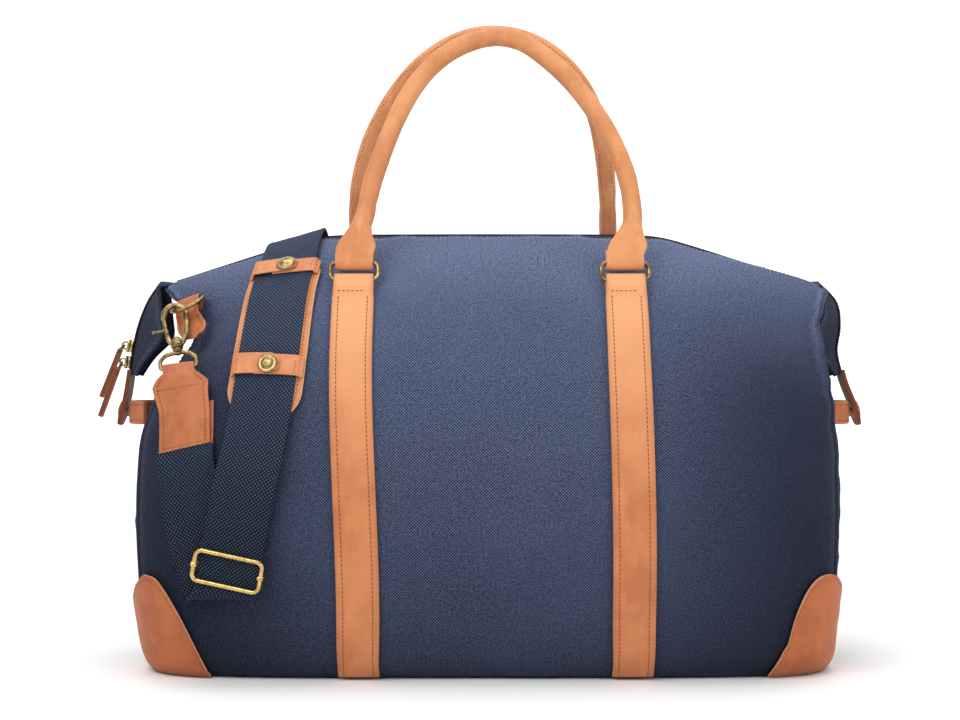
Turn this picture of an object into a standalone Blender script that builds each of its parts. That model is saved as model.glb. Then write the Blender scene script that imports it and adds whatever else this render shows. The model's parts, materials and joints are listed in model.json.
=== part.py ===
"""Weekender bag: washed canvas body, leather trim, two rolled handles on brass rings, a zip top
whose ends drop down and snap to the sides, and a webbing shoulder strap on swivel hooks.

Metres, +Z up, front towards -Y, origin on the floor under the middle of the bag."""

import math

import bpy
import bmesh
from mathutils import Matrix, Vector

# ---------------------------------------------------------------- driving dimensions
BODY_TOP = 0.342  # height of the zip over the middle of the bag
SHOULDER_START = 0.137  # the top line is level as far out as this
SHOULDER_SLOPE = 0.325  # and then falls by this much for each metre outwards
CORNER = 5.0  # exponent of the plan outline: 2 is an ellipse, larger is squarer
SEAM_ANGLE = 35.0  # the end panels reach this far round from the X axis, in degrees
SEAM_GAP = 0.20  # half the gap between neighbouring panels, in degrees
CLEAR = 0.0004  # gap between neighbours that touch on the real bag
CANVAS = 0.0014  # thickness of the canvas with its backing
LEATHER = 0.0026
STRAP_WIDTH = 0.0305  # leather straps up the front and rear
STRAP_X = 0.104  # their distance from the middle
WEBBING_WIDTH = 0.046
WEBBING = 0.0022
PAD_WIDTH = 0.0555
HANDLE_LEAN = math.radians(17.5)  # the handles lean in towards each other
HANDLE_TUBE = 0.0075  # radius of the rolled leather
RING_WIDTH = 0.040
RING_BARS = 0.0137  # between the centres of a ring's two bars
RING_WIRE = 0.00165
HOOK_TWIST = math.radians(6)  # the hook is turned on its stem, to pass through the D-ring
HOOK_REACH = 0.0546  # from the eye's bar to the D-ring's wire in the hook

# Rows from the bottom seam up to the zip: half depth, height, half width
BODY_ROWS = [
    (0.098, 0.003, 0.262),
    (0.112, 0.020, 0.268),
    (0.124, 0.060, 0.274),
    (0.131, 0.120, 0.277),
    (0.127, 0.180, 0.277),
    (0.113, 0.232, 0.268),
    (0.088, 0.281, 0.254),
    (0.052, 0.318, 0.256),
    (0.020, 0.337, 0.262),
    (0.000, 0.342, 0.262),
]
PANEL_EDGE = 0.0145  # half depth where the canvas stops beside the zip tape
TAPE = (0.0140, 0.0036)  # half depths between which a zip tape lies
CHAIN_HALF = 0.0031

# Left drop wing: ridge x and z, half width in Y, then the inner edge's place beside the ridge
WING_ROWS = [
    (-0.2645, 0.3035, 0.020, 0.000, -0.004),
    (-0.2755, 0.2870, 0.024, 0.013, -0.008),
    (-0.2830, 0.2680, 0.020, 0.022, -0.006),
    (-0.2875, 0.2480, 0.014, 0.018, -0.003),
    (-0.2900, 0.2290, 0.0115, 0.010, -0.001),
]
WING_HINGE = Vector((-0.2630, 0.0, 0.3030))
END_TAB = (Vector((-0.2908, 0.0, 0.2278)), Vector((-0.2995, 0.0, 0.1880)))
SIDE_TAB_REACH = 0.2905  # how far out the side loop's middle stands
SIDE_TAB_Z = 0.1985
SLIDERS = {"a": (0.2507, 0.2195), "b": (0.2380, 0.130)}  # height, and slope of the ridge there

# Front handle's centre line beyond the rings: x, and distance along the lean from the upper bar
HANDLE_ARCH = [
    (-0.1015, 0.022),
    (-0.0965, 0.040),
    (-0.0900, 0.072),
    (-0.0740, 0.120),
    (-0.0560, 0.155),
    (-0.0320, 0.180),
    (-0.0020, 0.193),
    (0.0260, 0.190),
    (0.0520, 0.173),
    (0.0750, 0.149),
    (0.0965, 0.114),
    (0.1090, 0.075),
    (0.1110, 0.040),
    (0.1080, 0.022),
]

# Webbing: x, height, side (-1 front, 1 rear) and lift of its middle off the bag
WEBBING_DOWN = [
    (-0.2249, 0.1680, -1, 0.0040),
    (-0.2225, 0.1500, -1, 0.0026),
    (-0.2200, 0.1264, -1, 0.0024),
    (-0.2130, 0.0980, -1, 0.0024),
    (-0.2045, 0.0715, -1, 0.0028),
]
WEBBING_FOLD = [(-0.2000, 0.0665, -1, 0.0062), (-0.1968, 0.0685, -1, 0.0092)]
STRAIGHT_RUN = [(-0.1938, 0.0715, -1, 0.0108), (-0.1785, 0.1470, -1, 0.0122)]
WEBBING_UP = [
    (-0.1722, 0.1800, -1, 0.0075),
    (-0.1668, 0.2176, -1, 0.0054),
    (-0.1640, 0.2461, -1, 0.0054),
    (-0.1605, 0.2868, -1, 0.0054),
    (-0.1565, 0.3100, -1, 0.0054),
    (-0.1548, 0.3270, -1, 0.0054),
]
WEBBING_CREST = (-0.1535, 0.0050)
WEBBING_REAR = [
    (-0.1525, 0.3270, 1, 0.0046),
    (-0.1515, 0.3100, 1, 0.0040),
    (-0.1500, 0.2800, 1, 0.0036),
    (-0.1420, 0.2350, 1, 0.0062),
    (-0.1180, 0.1800, 1, 0.0072),
    (-0.0750, 0.1300, 1, 0.0072),
    (-0.0150, 0.0960, 1, 0.0066),
    (0.0500, 0.0830, 1, 0.0066),
    (0.1100, 0.0870, 1, 0.0072),
    (0.1650, 0.1040, 1, 0.0056),
    (0.2050, 0.1320, 1, 0.0040),
    (0.2225, 0.1550, 1, 0.0036),
    (0.2249, 0.1680, 1, 0.0040),
]
SLIDER_UP = 0.0170  # the strap slider's middle, from the low end of the straight run

FINISHES = {
    "canvas": ((0.055, 0.068, 0.125), 0.9, 0.0),
    "lining": ((0.02, 0.022, 0.035), 0.9, 0.0),
    "board": ((0.16, 0.12, 0.08), 0.9, 0.0),
    "leather": ((0.56, 0.25, 0.11), 0.55, 0.0),
    "webbing": ((0.022, 0.035, 0.075), 0.85, 0.0),
    "brass": ((0.34, 0.25, 0.10), 0.35, 1.0),
    "zip": ((0.10, 0.08, 0.05), 0.4, 1.0),
}

# ---------------------------------------------------------------- scene and materials
for old in list(bpy.data.objects):
    bpy.data.objects.remove(old, do_unlink=True)

BAG = bpy.data.collections.new("weekender_bag")
CUTTERS = bpy.data.collections.new("cutters")
bpy.context.scene.collection.children.link(BAG)
bpy.context.scene.collection.children.link(CUTTERS)


def paint(obj, finish):
    """Give the object its own Principled material."""
    colour, roughness, metallic = FINISHES[finish]
    mat = bpy.data.materials.new(obj.name)
    mat.use_nodes = True
    shader = mat.node_tree.nodes["Principled BSDF"]
    shader.inputs["Base Color"].default_value = (*colour, 1.0)
    shader.inputs["Roughness"].default_value = roughness
    shader.inputs["Metallic"].default_value = metallic
    obj.data.materials.clear()
    obj.data.materials.append(mat)


def add(name, data, finish=None, place=None):
    """Link a new object; place moves its origin there without moving its shape."""
    obj = bpy.data.objects.new(name, data)
    BAG.objects.link(obj)
    if place is not None:
        data.transform(Matrix.Translation(-place))
        obj.location = place
    if finish:
        paint(obj, finish)
    return obj


def grid_mesh(name, rows, closed_rows=False):
    """A mesh of quads through rows of points."""
    mesh = bpy.data.meshes.new(name)
    bm = bmesh.new()
    verts = [[bm.verts.new(point) for point in row] for row in rows]
    across = len(rows[0])
    for low, high in zip(verts, verts[1:]):
        for i in range(across if closed_rows else across - 1):
            j = (i + 1) % across
            bm.faces.new((low[i], low[j], high[j], high[i]))
    bm.normal_update()
    bm.to_mesh(mesh)
    bm.free()
    mesh.shade_smooth()
    return mesh


def solidify(obj, thickness, offset):
    modifier = obj.modifiers.new("thickness", "SOLIDIFY")
    modifier.thickness = thickness
    modifier.offset = offset
    return obj


def sheet(name, rows, thickness, finish, place=None):
    """A strip or patch of even thickness whose middle runs through the rows of points."""
    return solidify(add(name, grid_mesh(name, rows), finish, place), thickness, 0.0)


def loft(name, rings, finish, place=None):
    """A solid through rings of points, with flat ends."""
    mesh = grid_mesh(name, rings, closed_rows=True)
    bm = bmesh.new()
    bm.from_mesh(mesh)
    bm.verts.ensure_lookup_table()
    count = len(rings[0])
    bm.faces.new([bm.verts[i] for i in range(count)][::-1])
    bm.faces.new([bm.verts[len(bm.verts) - count + i] for i in range(count)])
    bmesh.ops.recalc_face_normals(bm, faces=bm.faces)
    bm.to_mesh(mesh)
    bm.free()
    mesh.shade_smooth()
    mesh.set_sharp_from_angle(angle=math.radians(50))
    return add(name, mesh, finish, place)


def wire(name, points, radius, cyclic=True, sides=1):
    """A round wire through the points, as a mesh."""
    curve = bpy.data.curves.new(name, "CURVE")
    curve.dimensions = "3D"
    curve.bevel_depth = radius
    curve.bevel_resolution = sides
    curve.use_fill_caps = True
    spline = curve.splines.new("POLY")
    spline.points.add(len(points) - 1)
    for target, point in zip(spline.points, points):
        target.co = (*point, 1.0)
    spline.use_cyclic_u = cyclic
    guide = bpy.data.objects.new(name, curve)
    BAG.objects.link(guide)
    mesh = bpy.data.meshes.new_from_object(guide.evaluated_get(bpy.context.evaluated_depsgraph_get()))
    bpy.data.objects.remove(guide, do_unlink=True)
    bpy.data.curves.remove(curve)
    bm = bmesh.new()
    bm.from_mesh(mesh)
    bmesh.ops.remove_doubles(bm, verts=bm.verts, dist=0.00001)
    bmesh.ops.recalc_face_normals(bm, faces=bm.faces)
    bm.to_mesh(mesh)
    bm.free()
    mesh.name = name
    mesh.shade_smooth()
    return mesh


def turned(name, profile, finish, matrix, steps=14):
    """A round piece: the profile's radius and height pairs run down its outer side."""
    mesh = bpy.data.meshes.new(name)
    points = [(radius, 0.0, height) for radius, height in profile]
    edges = [(i, i + 1) for i in range(len(points) - 1)]
    mesh.from_pydata(points, edges, [])
    obj = add(name, mesh)
    screw = obj.modifiers.new("turn", "SCREW")
    screw.steps = screw.render_steps = steps
    screw.use_merge_vertices = True
    screw.merge_threshold = 0.00005
    obj.matrix_world = matrix
    if finish:
        paint(obj, finish)
    return obj


def join(obj, mesh):
    """Unite the object with a second closed mesh given in world space."""
    helper = bpy.data.objects.new(mesh.name, mesh)
    CUTTERS.objects.link(helper)
    helper.hide_render = True
    helper.display_type = "WIRE"
    union = obj.modifiers.new("join", "BOOLEAN")
    union.operation = "UNION"
    union.solver = "EXACT"
    union.object = helper
    bpy.context.view_layer.update()
    joined = bpy.data.meshes.new_from_object(obj.evaluated_get(bpy.context.evaluated_depsgraph_get()))
    materials = list(obj.data.materials)
    obj.modifiers.clear()
    obj.data = joined
    joined.name = obj.name
    joined.materials.clear()
    for mat in materials:
        joined.materials.append(mat)
    bpy.data.objects.remove(helper, do_unlink=True)
    return obj


def world_mesh(obj):
    """The evaluated shape of an object as a mesh in world space; the object is removed."""
    bpy.context.view_layer.update()
    mesh = bpy.data.meshes.new_from_object(obj.evaluated_get(bpy.context.evaluated_depsgraph_get()))
    mesh.transform(obj.matrix_world)
    mesh.name = obj.name
    bpy.data.objects.remove(obj, do_unlink=True)
    return mesh


def turned_copy(obj, name):
    """The same piece on the other face of the bag: a half turn about the upright axis."""
    copy = obj.copy()
    copy.name = name
    BAG.objects.link(copy)
    copy.matrix_world = Matrix.Rotation(math.pi, 4, "Z") @ obj.matrix_basis
    return copy


def frame_matrix(origin, x_axis, z_axis):
    """A placing matrix with its X and Z along the given directions."""
    z = z_axis.normalized()
    x = (x_axis - z * x_axis.dot(z)).normalized()
    y = z.cross(x)
    return Matrix.Translation(origin) @ Matrix((x, y, z)).transposed().to_4x4()


# ---------------------------------------------------------------- the bag's outer surface
def smooth(rows, t):
    """A Catmull-Rom curve through rows, t from 0 at the first to 1 at the last."""
    place = min(max(t, 0.0), 1.0) * (len(rows) - 1)
    i = min(int(place), len(rows) - 2)
    f = place - i
    before, here, there, after = rows[max(i - 1, 0)], rows[i], rows[i + 1], rows[min(i + 2, len(rows) - 1)]
    return [
        0.5 * (2 * b + (c - a) * f + (2 * a - 5 * b + 4 * c - d) * f * f + (3 * b - 3 * c + d - a) * f**3)
        for a, b, c, d in zip(before, here, there, after)
    ]


def top_line(x):
    beyond = abs(x) - SHOULDER_START
    return BODY_TOP - SHOULDER_SLOPE * 0.5 * (beyond + math.hypot(beyond, 0.015))


def around(angle, v, lift=0.0):
    """A point on the surface by its angle from the X axis in plan, and v up the side."""

    def point(turn, row):
        depth, height, reach = smooth(BODY_ROWS, row)
        c, s = math.cos(turn), math.sin(turn)
        size = (abs(c) ** CORNER + abs(s) ** CORNER) ** (1 / CORNER)
        x = reach * c / size
        return Vector((x, max(depth, 0.0) * s / size, height * top_line(x) / BODY_TOP))

    turn = math.radians(angle)
    sideways = point(turn + 0.002, v) - point(turn - 0.002, v)
    upward = point(turn, min(v + 0.002, 1.0)) - point(turn, v - 0.002)
    return point(turn, v) + sideways.cross(upward).normalized() * lift


def over(x, t):
    """A point on the surface by x, and t from -1 at the front seam over the zip to 1 behind."""
    depth, height, reach = smooth(BODY_ROWS, 1 - abs(t))
    c = min(abs(x) / reach, 0.999)
    y = math.copysign(max(depth, 0.0), t) * (1 - c**CORNER) ** (1 / CORNER)
    return Vector((x, y, height * top_line(x) / BODY_TOP))


def on_bag(x, t, lift):
    """A point lifted off the surface, and the outward direction there."""
    sideways = over(x + 0.0005, t) - over(x - 0.0005, t)
    forward = over(x, t + 0.002) - over(x, t - 0.002)
    outward = sideways.cross(forward).normalized()
    return over(x, t) + outward * lift, outward


def at_height(x, z, side):
    """The t of the point at height z on the front (side -1) or the rear (side 1)."""
    low, high = 0.0, 1.0
    for _ in range(40):
        middle = (low + high) / 2
        if over(x, side * (1 - middle)).z < z:
            low = middle
        else:
            high = middle
    return side * (1 - low)


def at_depth(depth):
    """The v at which the body's half depth is this, near the top."""
    low, high = 0.7, 1.0
    for _ in range(40):
        middle = (low + high) / 2
        if smooth(BODY_ROWS, middle)[0] > depth:
            low = middle
        else:
            high = middle
    return low


def laid(x, z, side, lift):
    return on_bag(x, at_height(x, z, side), lift)


def spaced(first, last, count):
    return [first + (last - first) * i / (count - 1) for i in range(count)]


# ---------------------------------------------------------------- canvas shell
def make_panel(name, first, last, columns):
    """A canvas panel between two angles in plan; the seam's gap widens where the bag narrows."""
    rows = []
    for v in spaced(0.0, V_EDGE, 11):
        gap = SEAM_GAP * (1 + 12 * v**6)
        rows.append([around(angle, v) for angle in spaced(first + gap, last - gap, columns)])
    panel = add(name, grid_mesh(name, rows), "canvas")
    return solidify(panel, CANVAS, -1.0)


def plate(name, reach, depth, bottom, top, finish, columns=40):
    """A flat board with the body's plan outline."""
    rings = []
    for z in (bottom, top):
        ring = []
        for i in range(columns):
            turn = 2 * math.pi * (i + 0.5) / columns
            c, s = math.cos(turn), math.sin(turn)
            size = (abs(c) ** CORNER + abs(s) ** CORNER) ** (1 / CORNER)
            ring.append(Vector((reach * c / size, depth * s / size, z)))
        rings.append(ring)
    return loft(name, rings, finish)


LINING_COLUMNS = 22
LINING_INSET = 0.0060  # inside the canvas
LINING_FLOOR = 0.0085


def make_lining():
    """An open-topped inner bag that hangs inside the canvas."""
    rows = []
    for v in [0.035, 0.1] + spaced(0.2, 0.86, 5):
        turns = [360.0 * i / LINING_COLUMNS for i in range(LINING_COLUMNS)]
        rows.append([around(turn, v, -LINING_INSET) for turn in turns])
    floor = []
    for share in (0.4, 0.9):
        floor.append([Vector((p.x * share, p.y * share, LINING_FLOOR)) for p in rows[0]])
    mesh = grid_mesh("lining", floor + rows, closed_rows=True)
    bm = bmesh.new()
    bm.from_mesh(mesh)
    bm.verts.ensure_lookup_table()
    bm.faces.new([bm.verts[i] for i in range(LINING_COLUMNS)][::-1])
    bmesh.ops.recalc_face_normals(bm, faces=bm.faces)
    bm.to_mesh(mesh)
    bm.free()
    solidify(add("lining", mesh, "lining"), 0.0007, 0.0)


V_EDGE = at_depth(PANEL_EDGE)
make_panel("front_panel", 180 + SEAM_ANGLE, 360 - SEAM_ANGLE, 17)
make_panel("back_panel", SEAM_ANGLE, 180 - SEAM_ANGLE, 17)
make_panel("side_panel_right", -SEAM_ANGLE, SEAM_ANGLE, 7)
make_panel("side_panel_left", 180 - SEAM_ANGLE, 180 + SEAM_ANGLE, 7)
plate("bottom_panel", 0.259, 0.095, 0.0, 0.0026, "canvas")
plate("base_board", 0.248, 0.084, 0.0032, 0.0058, "board")
make_lining()


# ---------------------------------------------------------------- zip along the top
def make_tape(name, side):
    inner, outer = at_depth(TAPE[1]), at_depth(TAPE[0])
    rows = []
    for x in spaced(-0.248, 0.248, 19):
        rows.append([on_bag(x, side * (1 - v), -0.0005)[0] for v in (outer, inner)])
    sheet(name, rows, 0.0009, "canvas")


make_tape("zip_tape_front", -1)
make_tape("zip_tape_rear", 1)
chain_rows = []
for chain_x in spaced(-0.254, 0.254, 23):
    crest = over(chain_x, 0.0)
    half = CHAIN_HALF * (1 - abs(chain_x / BODY_ROWS[-1][2]) ** CORNER) ** (1 / CORNER)
    chain_rows.append([crest + Vector((0, y, -0.0003)) for y in (-half, half)])
sheet("zip_chain", chain_rows, 0.0022, "zip")


# ---------------------------------------------------------------- drop wings at the ends
def mirrored(points, sign):
    """The left end's points, or their mirror image for the right end."""
    return [Vector((p.x * sign, p.y, p.z)) for p in points]


def wing_rows(sign):
    rows = []
    for i in range(10):
        x, z, half, inward, drop = smooth(WING_ROWS, i / 9)
        row = []
        for share in (-1.0, -0.55, 0.0, 0.55, 1.0):
            bend = abs(share) ** 1.3
            row.append(Vector((x + inward * bend, half * share, z + drop * bend)))
        rows.append(mirrored(row, sign))
    return rows


def end_tab_rows(sign):
    start, end = END_TAB
    rows = []
    for share in spaced(0.0, 1.0, 9):
        middle = start.lerp(end, share) + Vector((0.0010 * math.sin(math.pi * share), 0, 0))
        left = max(1.0 - share, 0.0) * 0.041
        half = 0.0125 if left > 0.010 else 0.0035 + 0.0090 * math.sqrt(max(1 - (1 - left / 0.010) ** 2, 0))
        rows.append(mirrored([middle + Vector((0, half * k, 0)) for k in (-1, 0, 1)], sign))
    return rows


def side_tab_rows(sign):
    """A leather loop across the end of the bag, sewn down at both ends."""
    rows = []
    for share in spaced(-1.0, 1.0, 17):
        y = 0.036 * share
        foot = laid_on_end(y, SIDE_TAB_Z)
        rise = max(0.0, 1 - (share / 0.72) ** 2) ** 0.8
        out = foot + 0.0032 + (SIDE_TAB_REACH - foot - 0.0032) * rise
        row = [Vector((-out, y, SIDE_TAB_Z + half)) for half in (-0.0085, 0.0, 0.0085)]
        rows.append(mirrored(row, sign))
    return rows


def laid_on_end(y, z):
    """How far out the end panel is at this y and height."""
    low, high = 0.0, 1.0
    for _ in range(40):
        middle = (low + high) / 2
        if around(0.0, middle).z < z:
            low = middle
        else:
            high = middle
    depth, _, reach = smooth(BODY_ROWS, low)
    return reach * (1 - min(abs(y) / depth, 0.99) ** CORNER) ** (1 / CORNER)


CAP_PROFILE = [(0.0, 0.0030), (0.0045, 0.0027), (0.0070, 0.0018), (0.0078, 0.0006), (0.0074, 0.0), (0.0, 0.0)]
STUD_PROFILE = [(0.0, 0.0017), (0.0034, 0.0017), (0.0038, 0.0009), (0.0038, 0.0), (0.0, 0.0)]
for side_name, sign in (("left", 1), ("right", -1)):
    hinge = mirrored([WING_HINGE], sign)[0]
    sheet("wing_" + side_name, wing_rows(sign), 0.0020, "canvas", hinge)
    sheet("zip_end_tab_" + side_name, end_tab_rows(sign), LEATHER, "leather", hinge)
    sheet("side_tab_" + side_name, side_tab_rows(sign), LEATHER, "leather")
    slope = (END_TAB[1] - END_TAB[0]).normalized()
    outward = Vector((slope.z, 0, -slope.x))
    middle = END_TAB[0].lerp(END_TAB[1], 0.70) + Vector((0.0008, 0, 0))
    cap_at = middle + outward * (LEATHER / 2 + CLEAR)
    cap_at, out = mirrored([cap_at, outward], sign)
    cap = turned("end_snap_" + side_name, CAP_PROFILE, "brass", frame_matrix(cap_at, Vector((0, 1, 0)), out))
    stud_at = mirrored([Vector((-SIDE_TAB_REACH - LEATHER / 2 - CLEAR, 0, SIDE_TAB_Z))], sign)[0]
    stud_place = frame_matrix(stud_at, Vector((0, 1, 0)), Vector((-sign, 0, 0)))
    turned("side_stud_" + side_name, STUD_PROFILE, "brass", stud_place)


# ---------------------------------------------------------------- zip sliders and pulls
def circle(centre, first, second, radius, count=10):
    turns = [2 * math.pi * i / count for i in range(count)]
    return [centre + first * (radius * math.cos(a)) + second * (radius * math.sin(a)) for a in turns]


def ridge_at(z):
    low, high = 0.0, 1.0
    for _ in range(40):
        middle = (low + high) / 2
        if smooth(WING_ROWS, middle)[1] > z:
            low = middle
        else:
            high = middle
    return smooth(WING_ROWS, low)[0]


def slab(name, start, along, thick, sizes, finish, place):
    """A flat tag across Y: sizes are places along it with the half width and half thickness."""
    rings = []
    for reach, half, deep in sizes:
        corners = ((-1, -1), (1, -1), (1, 1), (-1, 1))
        middle = start + along * reach
        rings.append([middle + Vector((0, half * a, 0)) + thick * (deep * b) for a, b in corners])
    return loft(name, rings, finish, place)


SLIDER_SIZES = [(-0.0050, 0.0030, 0.0018), (-0.0030, 0.0045, 0.0025)]
SLIDER_SIZES += [(0.0035, 0.0045, 0.0025), (0.0055, 0.0028, 0.0018)]
PULL_SIZES = [(-0.0012, 0.0030, 0.0011), (0.0025, 0.0041, 0.0016)]
PULL_SIZES += [(0.0385, 0.0041, 0.0016), (0.0410, 0.0035, 0.0014)]
PULL_OFFSET = 0.0047  # the two pulls hang side by side


def make_slider(letter, height, slope, link_lean, pull_lean, beside):
    """A zip slider on the left ridge, with its bail, and a leather pull on a ring through the bail."""
    up = Vector((slope, 0, math.sqrt(1 - slope * slope)))
    out = Vector((-up.z, 0, up.x))
    centre = Vector((ridge_at(height), 0, height)) + out * 0.0041
    slider = slab("zip_slider_" + letter, centre, up, out, SLIDER_SIZES, "brass", centre.copy())
    loop = centre + out * 0.0040
    join(slider, wire("bail_" + letter, circle(loop, up, out, 0.0029), 0.00075))
    link_run = Vector((-math.sin(link_lean), 0, -math.cos(link_lean)))
    pull = Vector((-math.sin(pull_lean), 0, -math.cos(pull_lean)))
    inside = loop + out * 0.0009
    across = Vector((0, 1, 0))
    link = wire("link_" + letter, circle(inside + link_run * 0.0033, link_run, across, 0.0033), 0.0007)
    start = inside + link_run * 0.0062 + across * beside
    thick = Vector((pull.z, 0, -pull.x))
    tag = slab("zip_pull_" + letter, start, pull, thick, PULL_SIZES, "leather", inside.copy())
    join(tag, link)


make_slider("a", *SLIDERS["a"], math.radians(50), math.radians(19), PULL_OFFSET)
make_slider("b", *SLIDERS["b"], math.radians(25), math.radians(20), -PULL_OFFSET)


# ---------------------------------------------------------------- leather straps, rings, handles
def folded_end(wire_radius, leather, back_length, rise):
    """The side view of leather folded round a wire: places along and above the wire's axis.

    It starts on the outer side, goes over the wire and comes back behind it."""
    bend = wire_radius + CLEAR + leather / 2
    places = [(-0.020, bend - rise), (-0.012, bend - rise * 0.35), (-0.005, bend)]
    for i in range(9):
        turn = math.pi / 2 - math.pi * i / 8
        places.append((bend * math.cos(turn), bend * math.sin(turn)))
    places.append((-back_length, -bend))
    return places


BEDDED = 0.0008  # leather sewn to the canvas clears it by this much
RING_HEIGHT = 0.2985  # of the lower bar, on the surface
LOOP_HALF = 0.0144  # half width of the leather inside a ring
LOOP_TAIL = 0.012  # length of the part folded behind
LOOP_LIFT = BEDDED + LEATHER + CLEAR + RING_WIRE
LOOP_T = at_height(STRAP_X, RING_HEIGHT, -1)
LOWER_BAR, LOOP_OUT = on_bag(STRAP_X, LOOP_T, LOOP_LIFT)
LOOP_UP = LOOP_OUT.cross(Vector((1, 0, 0))).normalized()
LEAN = Vector((0, math.sin(HANDLE_LEAN), math.cos(HANDLE_LEAN)))
UPPER_BAR = LOWER_BAR + LEAN * RING_BARS
LEAN_OUT = Vector((0, -LEAN.z, LEAN.y))


def strap_rows(x):
    """From the bottom seam up the front to the loop round the ring's lower bar."""
    rows = []
    half = STRAP_WIDTH / 2
    for t in spaced(at_height(x, 0.0050, -1), at_height(x, RING_HEIGHT - 0.021, -1), 15):
        middle, _ = on_bag(x, t, BEDDED + LEATHER / 2)
        rows.append([middle + Vector((half * k, 0, 0)) for k in (-1, 1)])
    bar = Vector((x, LOWER_BAR.y, LOWER_BAR.z))
    rise = 2 * (RING_WIRE + CLEAR) + LEATHER
    for along, above in folded_end(RING_WIRE, LEATHER, LOOP_TAIL, rise)[1:]:
        middle = bar + LOOP_UP * along + LOOP_OUT * above
        rows.append([middle + Vector((LOOP_HALF * k, 0, 0)) for k in (-1, 1)])
    return rows


def oblong(half_wide, half_tall, corner):
    """A rounded oblong, as places across and up from its middle."""
    points = []
    for cx, cz, start in ((1, 1, 0), (-1, 1, 90), (-1, -1, 180), (1, -1, 270)):
        for step in range(4):
            turn = math.radians(start + 30 * step)
            wide = cx * (half_wide - corner) + corner * math.cos(turn)
            tall = cz * (half_tall - corner) + corner * math.sin(turn)
            points.append((wide, tall))
    return points


def ring_points(x):
    """A ring round its two bars, seen along the bars' own plane."""
    bar = Vector((x, LOWER_BAR.y, LOWER_BAR.z))
    outline = oblong(RING_WIDTH / 2 - RING_WIRE, RING_BARS / 2, 0.0046)
    return [bar + Vector((px, 0, 0)) + LEAN * (RING_BARS / 2 + pz) for px, pz in outline]


def section(centre, wide, thick, half_wide, half_thick, round_off):
    """A ten-sided section: round_off 1 is an ellipse and 0 is nearly a rectangle."""
    power = 2 + 6 * (1 - round_off)
    ring = []
    for i in range(10):
        turn = 2 * math.pi * (i + 0.5) / 10
        c, s = math.cos(turn), math.sin(turn)
        size = (abs(c) ** power + abs(s) ** power) ** (1 / power)
        ring.append(centre + wide * (half_wide * c / size) + thick * (half_thick * s / size))
    return ring


# Where the flat end turns into the roll: share of the way, half width, half thickness, and how
# much of the fold's offset is left
HANDLE_FLARE = [
    (0.35, 0.0160, 0.0020, 0.85),
    (0.62, 0.0135, 0.0038, 0.55),
    (0.85, 0.0095, 0.0062, 0.20),
]


def handle_end(x, first_x):
    """Sections of one flat end, from its tail behind the ring up to where the roll begins."""
    rings = []
    profile = folded_end(RING_WIRE, LEATHER, LOOP_TAIL, 0.0)[3:]
    profile.reverse()
    bar = Vector((x, UPPER_BAR.y, UPPER_BAR.z))
    for i, (along, above) in enumerate(profile):
        centre = bar - LEAN * along + LEAN_OUT * above
        before, after = profile[max(i - 1, 0)], profile[min(i + 1, len(profile) - 1)]
        run = (LEAN * -(after[0] - before[0]) + LEAN_OUT * (after[1] - before[1])).normalized()
        wide = Vector((1, 0, 0))
        rings.append(section(centre, wide, run.cross(wide), LOOP_HALF, LEATHER / 2, 0.0))
    bend = profile[-1][1]
    root = Vector((first_x, bar.y, bar.z))
    across = Vector((1, 0, 0))
    for share, half, deep, off in HANDLE_FLARE:
        centre = bar.lerp(root, share) + LEAN * (0.004 + 0.020 * share) + LEAN_OUT * bend * off
        rings.append(section(centre, across, LEAN.cross(across), half, deep, share))
    return rings


def make_handle(name):
    def place(x, h):
        return Vector((x, UPPER_BAR.y, UPPER_BAR.z)) + LEAN * h

    start = handle_end(-STRAP_X, HANDLE_ARCH[0][0])
    finish = handle_end(STRAP_X, HANDLE_ARCH[-1][0])
    finish.reverse()
    tube = []
    for share in spaced(0.0, 1.0, 27):
        here = place(*smooth(HANDLE_ARCH, share))
        behind, ahead = [place(*smooth(HANDLE_ARCH, share + step)) for step in (-0.01, 0.01)]
        tube.append((here, (ahead - behind).normalized()))
    rings = list(start)
    for here, run in tube:
        wide = LEAN_OUT.cross(run).normalized()
        rings.append(section(here, wide, run.cross(wide), HANDLE_TUBE, HANDLE_TUBE, 1.0))
    for ring in finish:
        centre = sum(ring, Vector()) / len(ring)
        rings.append([centre - (point - centre) for point in ring])
    return loft(name, rings, "leather", Vector((0, UPPER_BAR.y, UPPER_BAR.z)))


for side_name, other_name, x in (("left", "right", -STRAP_X), ("right", "left", STRAP_X)):
    strap = sheet("strap_front_" + side_name, strap_rows(x), LEATHER, "leather")
    turned_copy(strap, "strap_rear_" + other_name)
    ring = add("ring_front_" + side_name, wire("ring_front_" + side_name, ring_points(x), RING_WIRE),
               "brass", Vector((x, LOWER_BAR.y, LOWER_BAR.z)))
    turned_copy(ring, "ring_rear_" + other_name)
handle = make_handle("handle_front")
turned_copy(handle, "handle_rear")


# ---------------------------------------------------------------- leather corner caps
CAP_FOOT = 0.004  # height of the caps' lower edge
CAP_RISE = 0.070  # and how far the caps reach up the edge of the bag
CAP_ANGLES = (16.0, 34.0, 50.0)  # in plan: towards the end, at the edge, towards the middle


def height_to_v(plan, z):
    low, high = 0.0, 1.0
    for _ in range(30):
        middle = (low + high) / 2
        if around(plan, middle).z < z:
            low = middle
        else:
            high = middle
    return low


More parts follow.
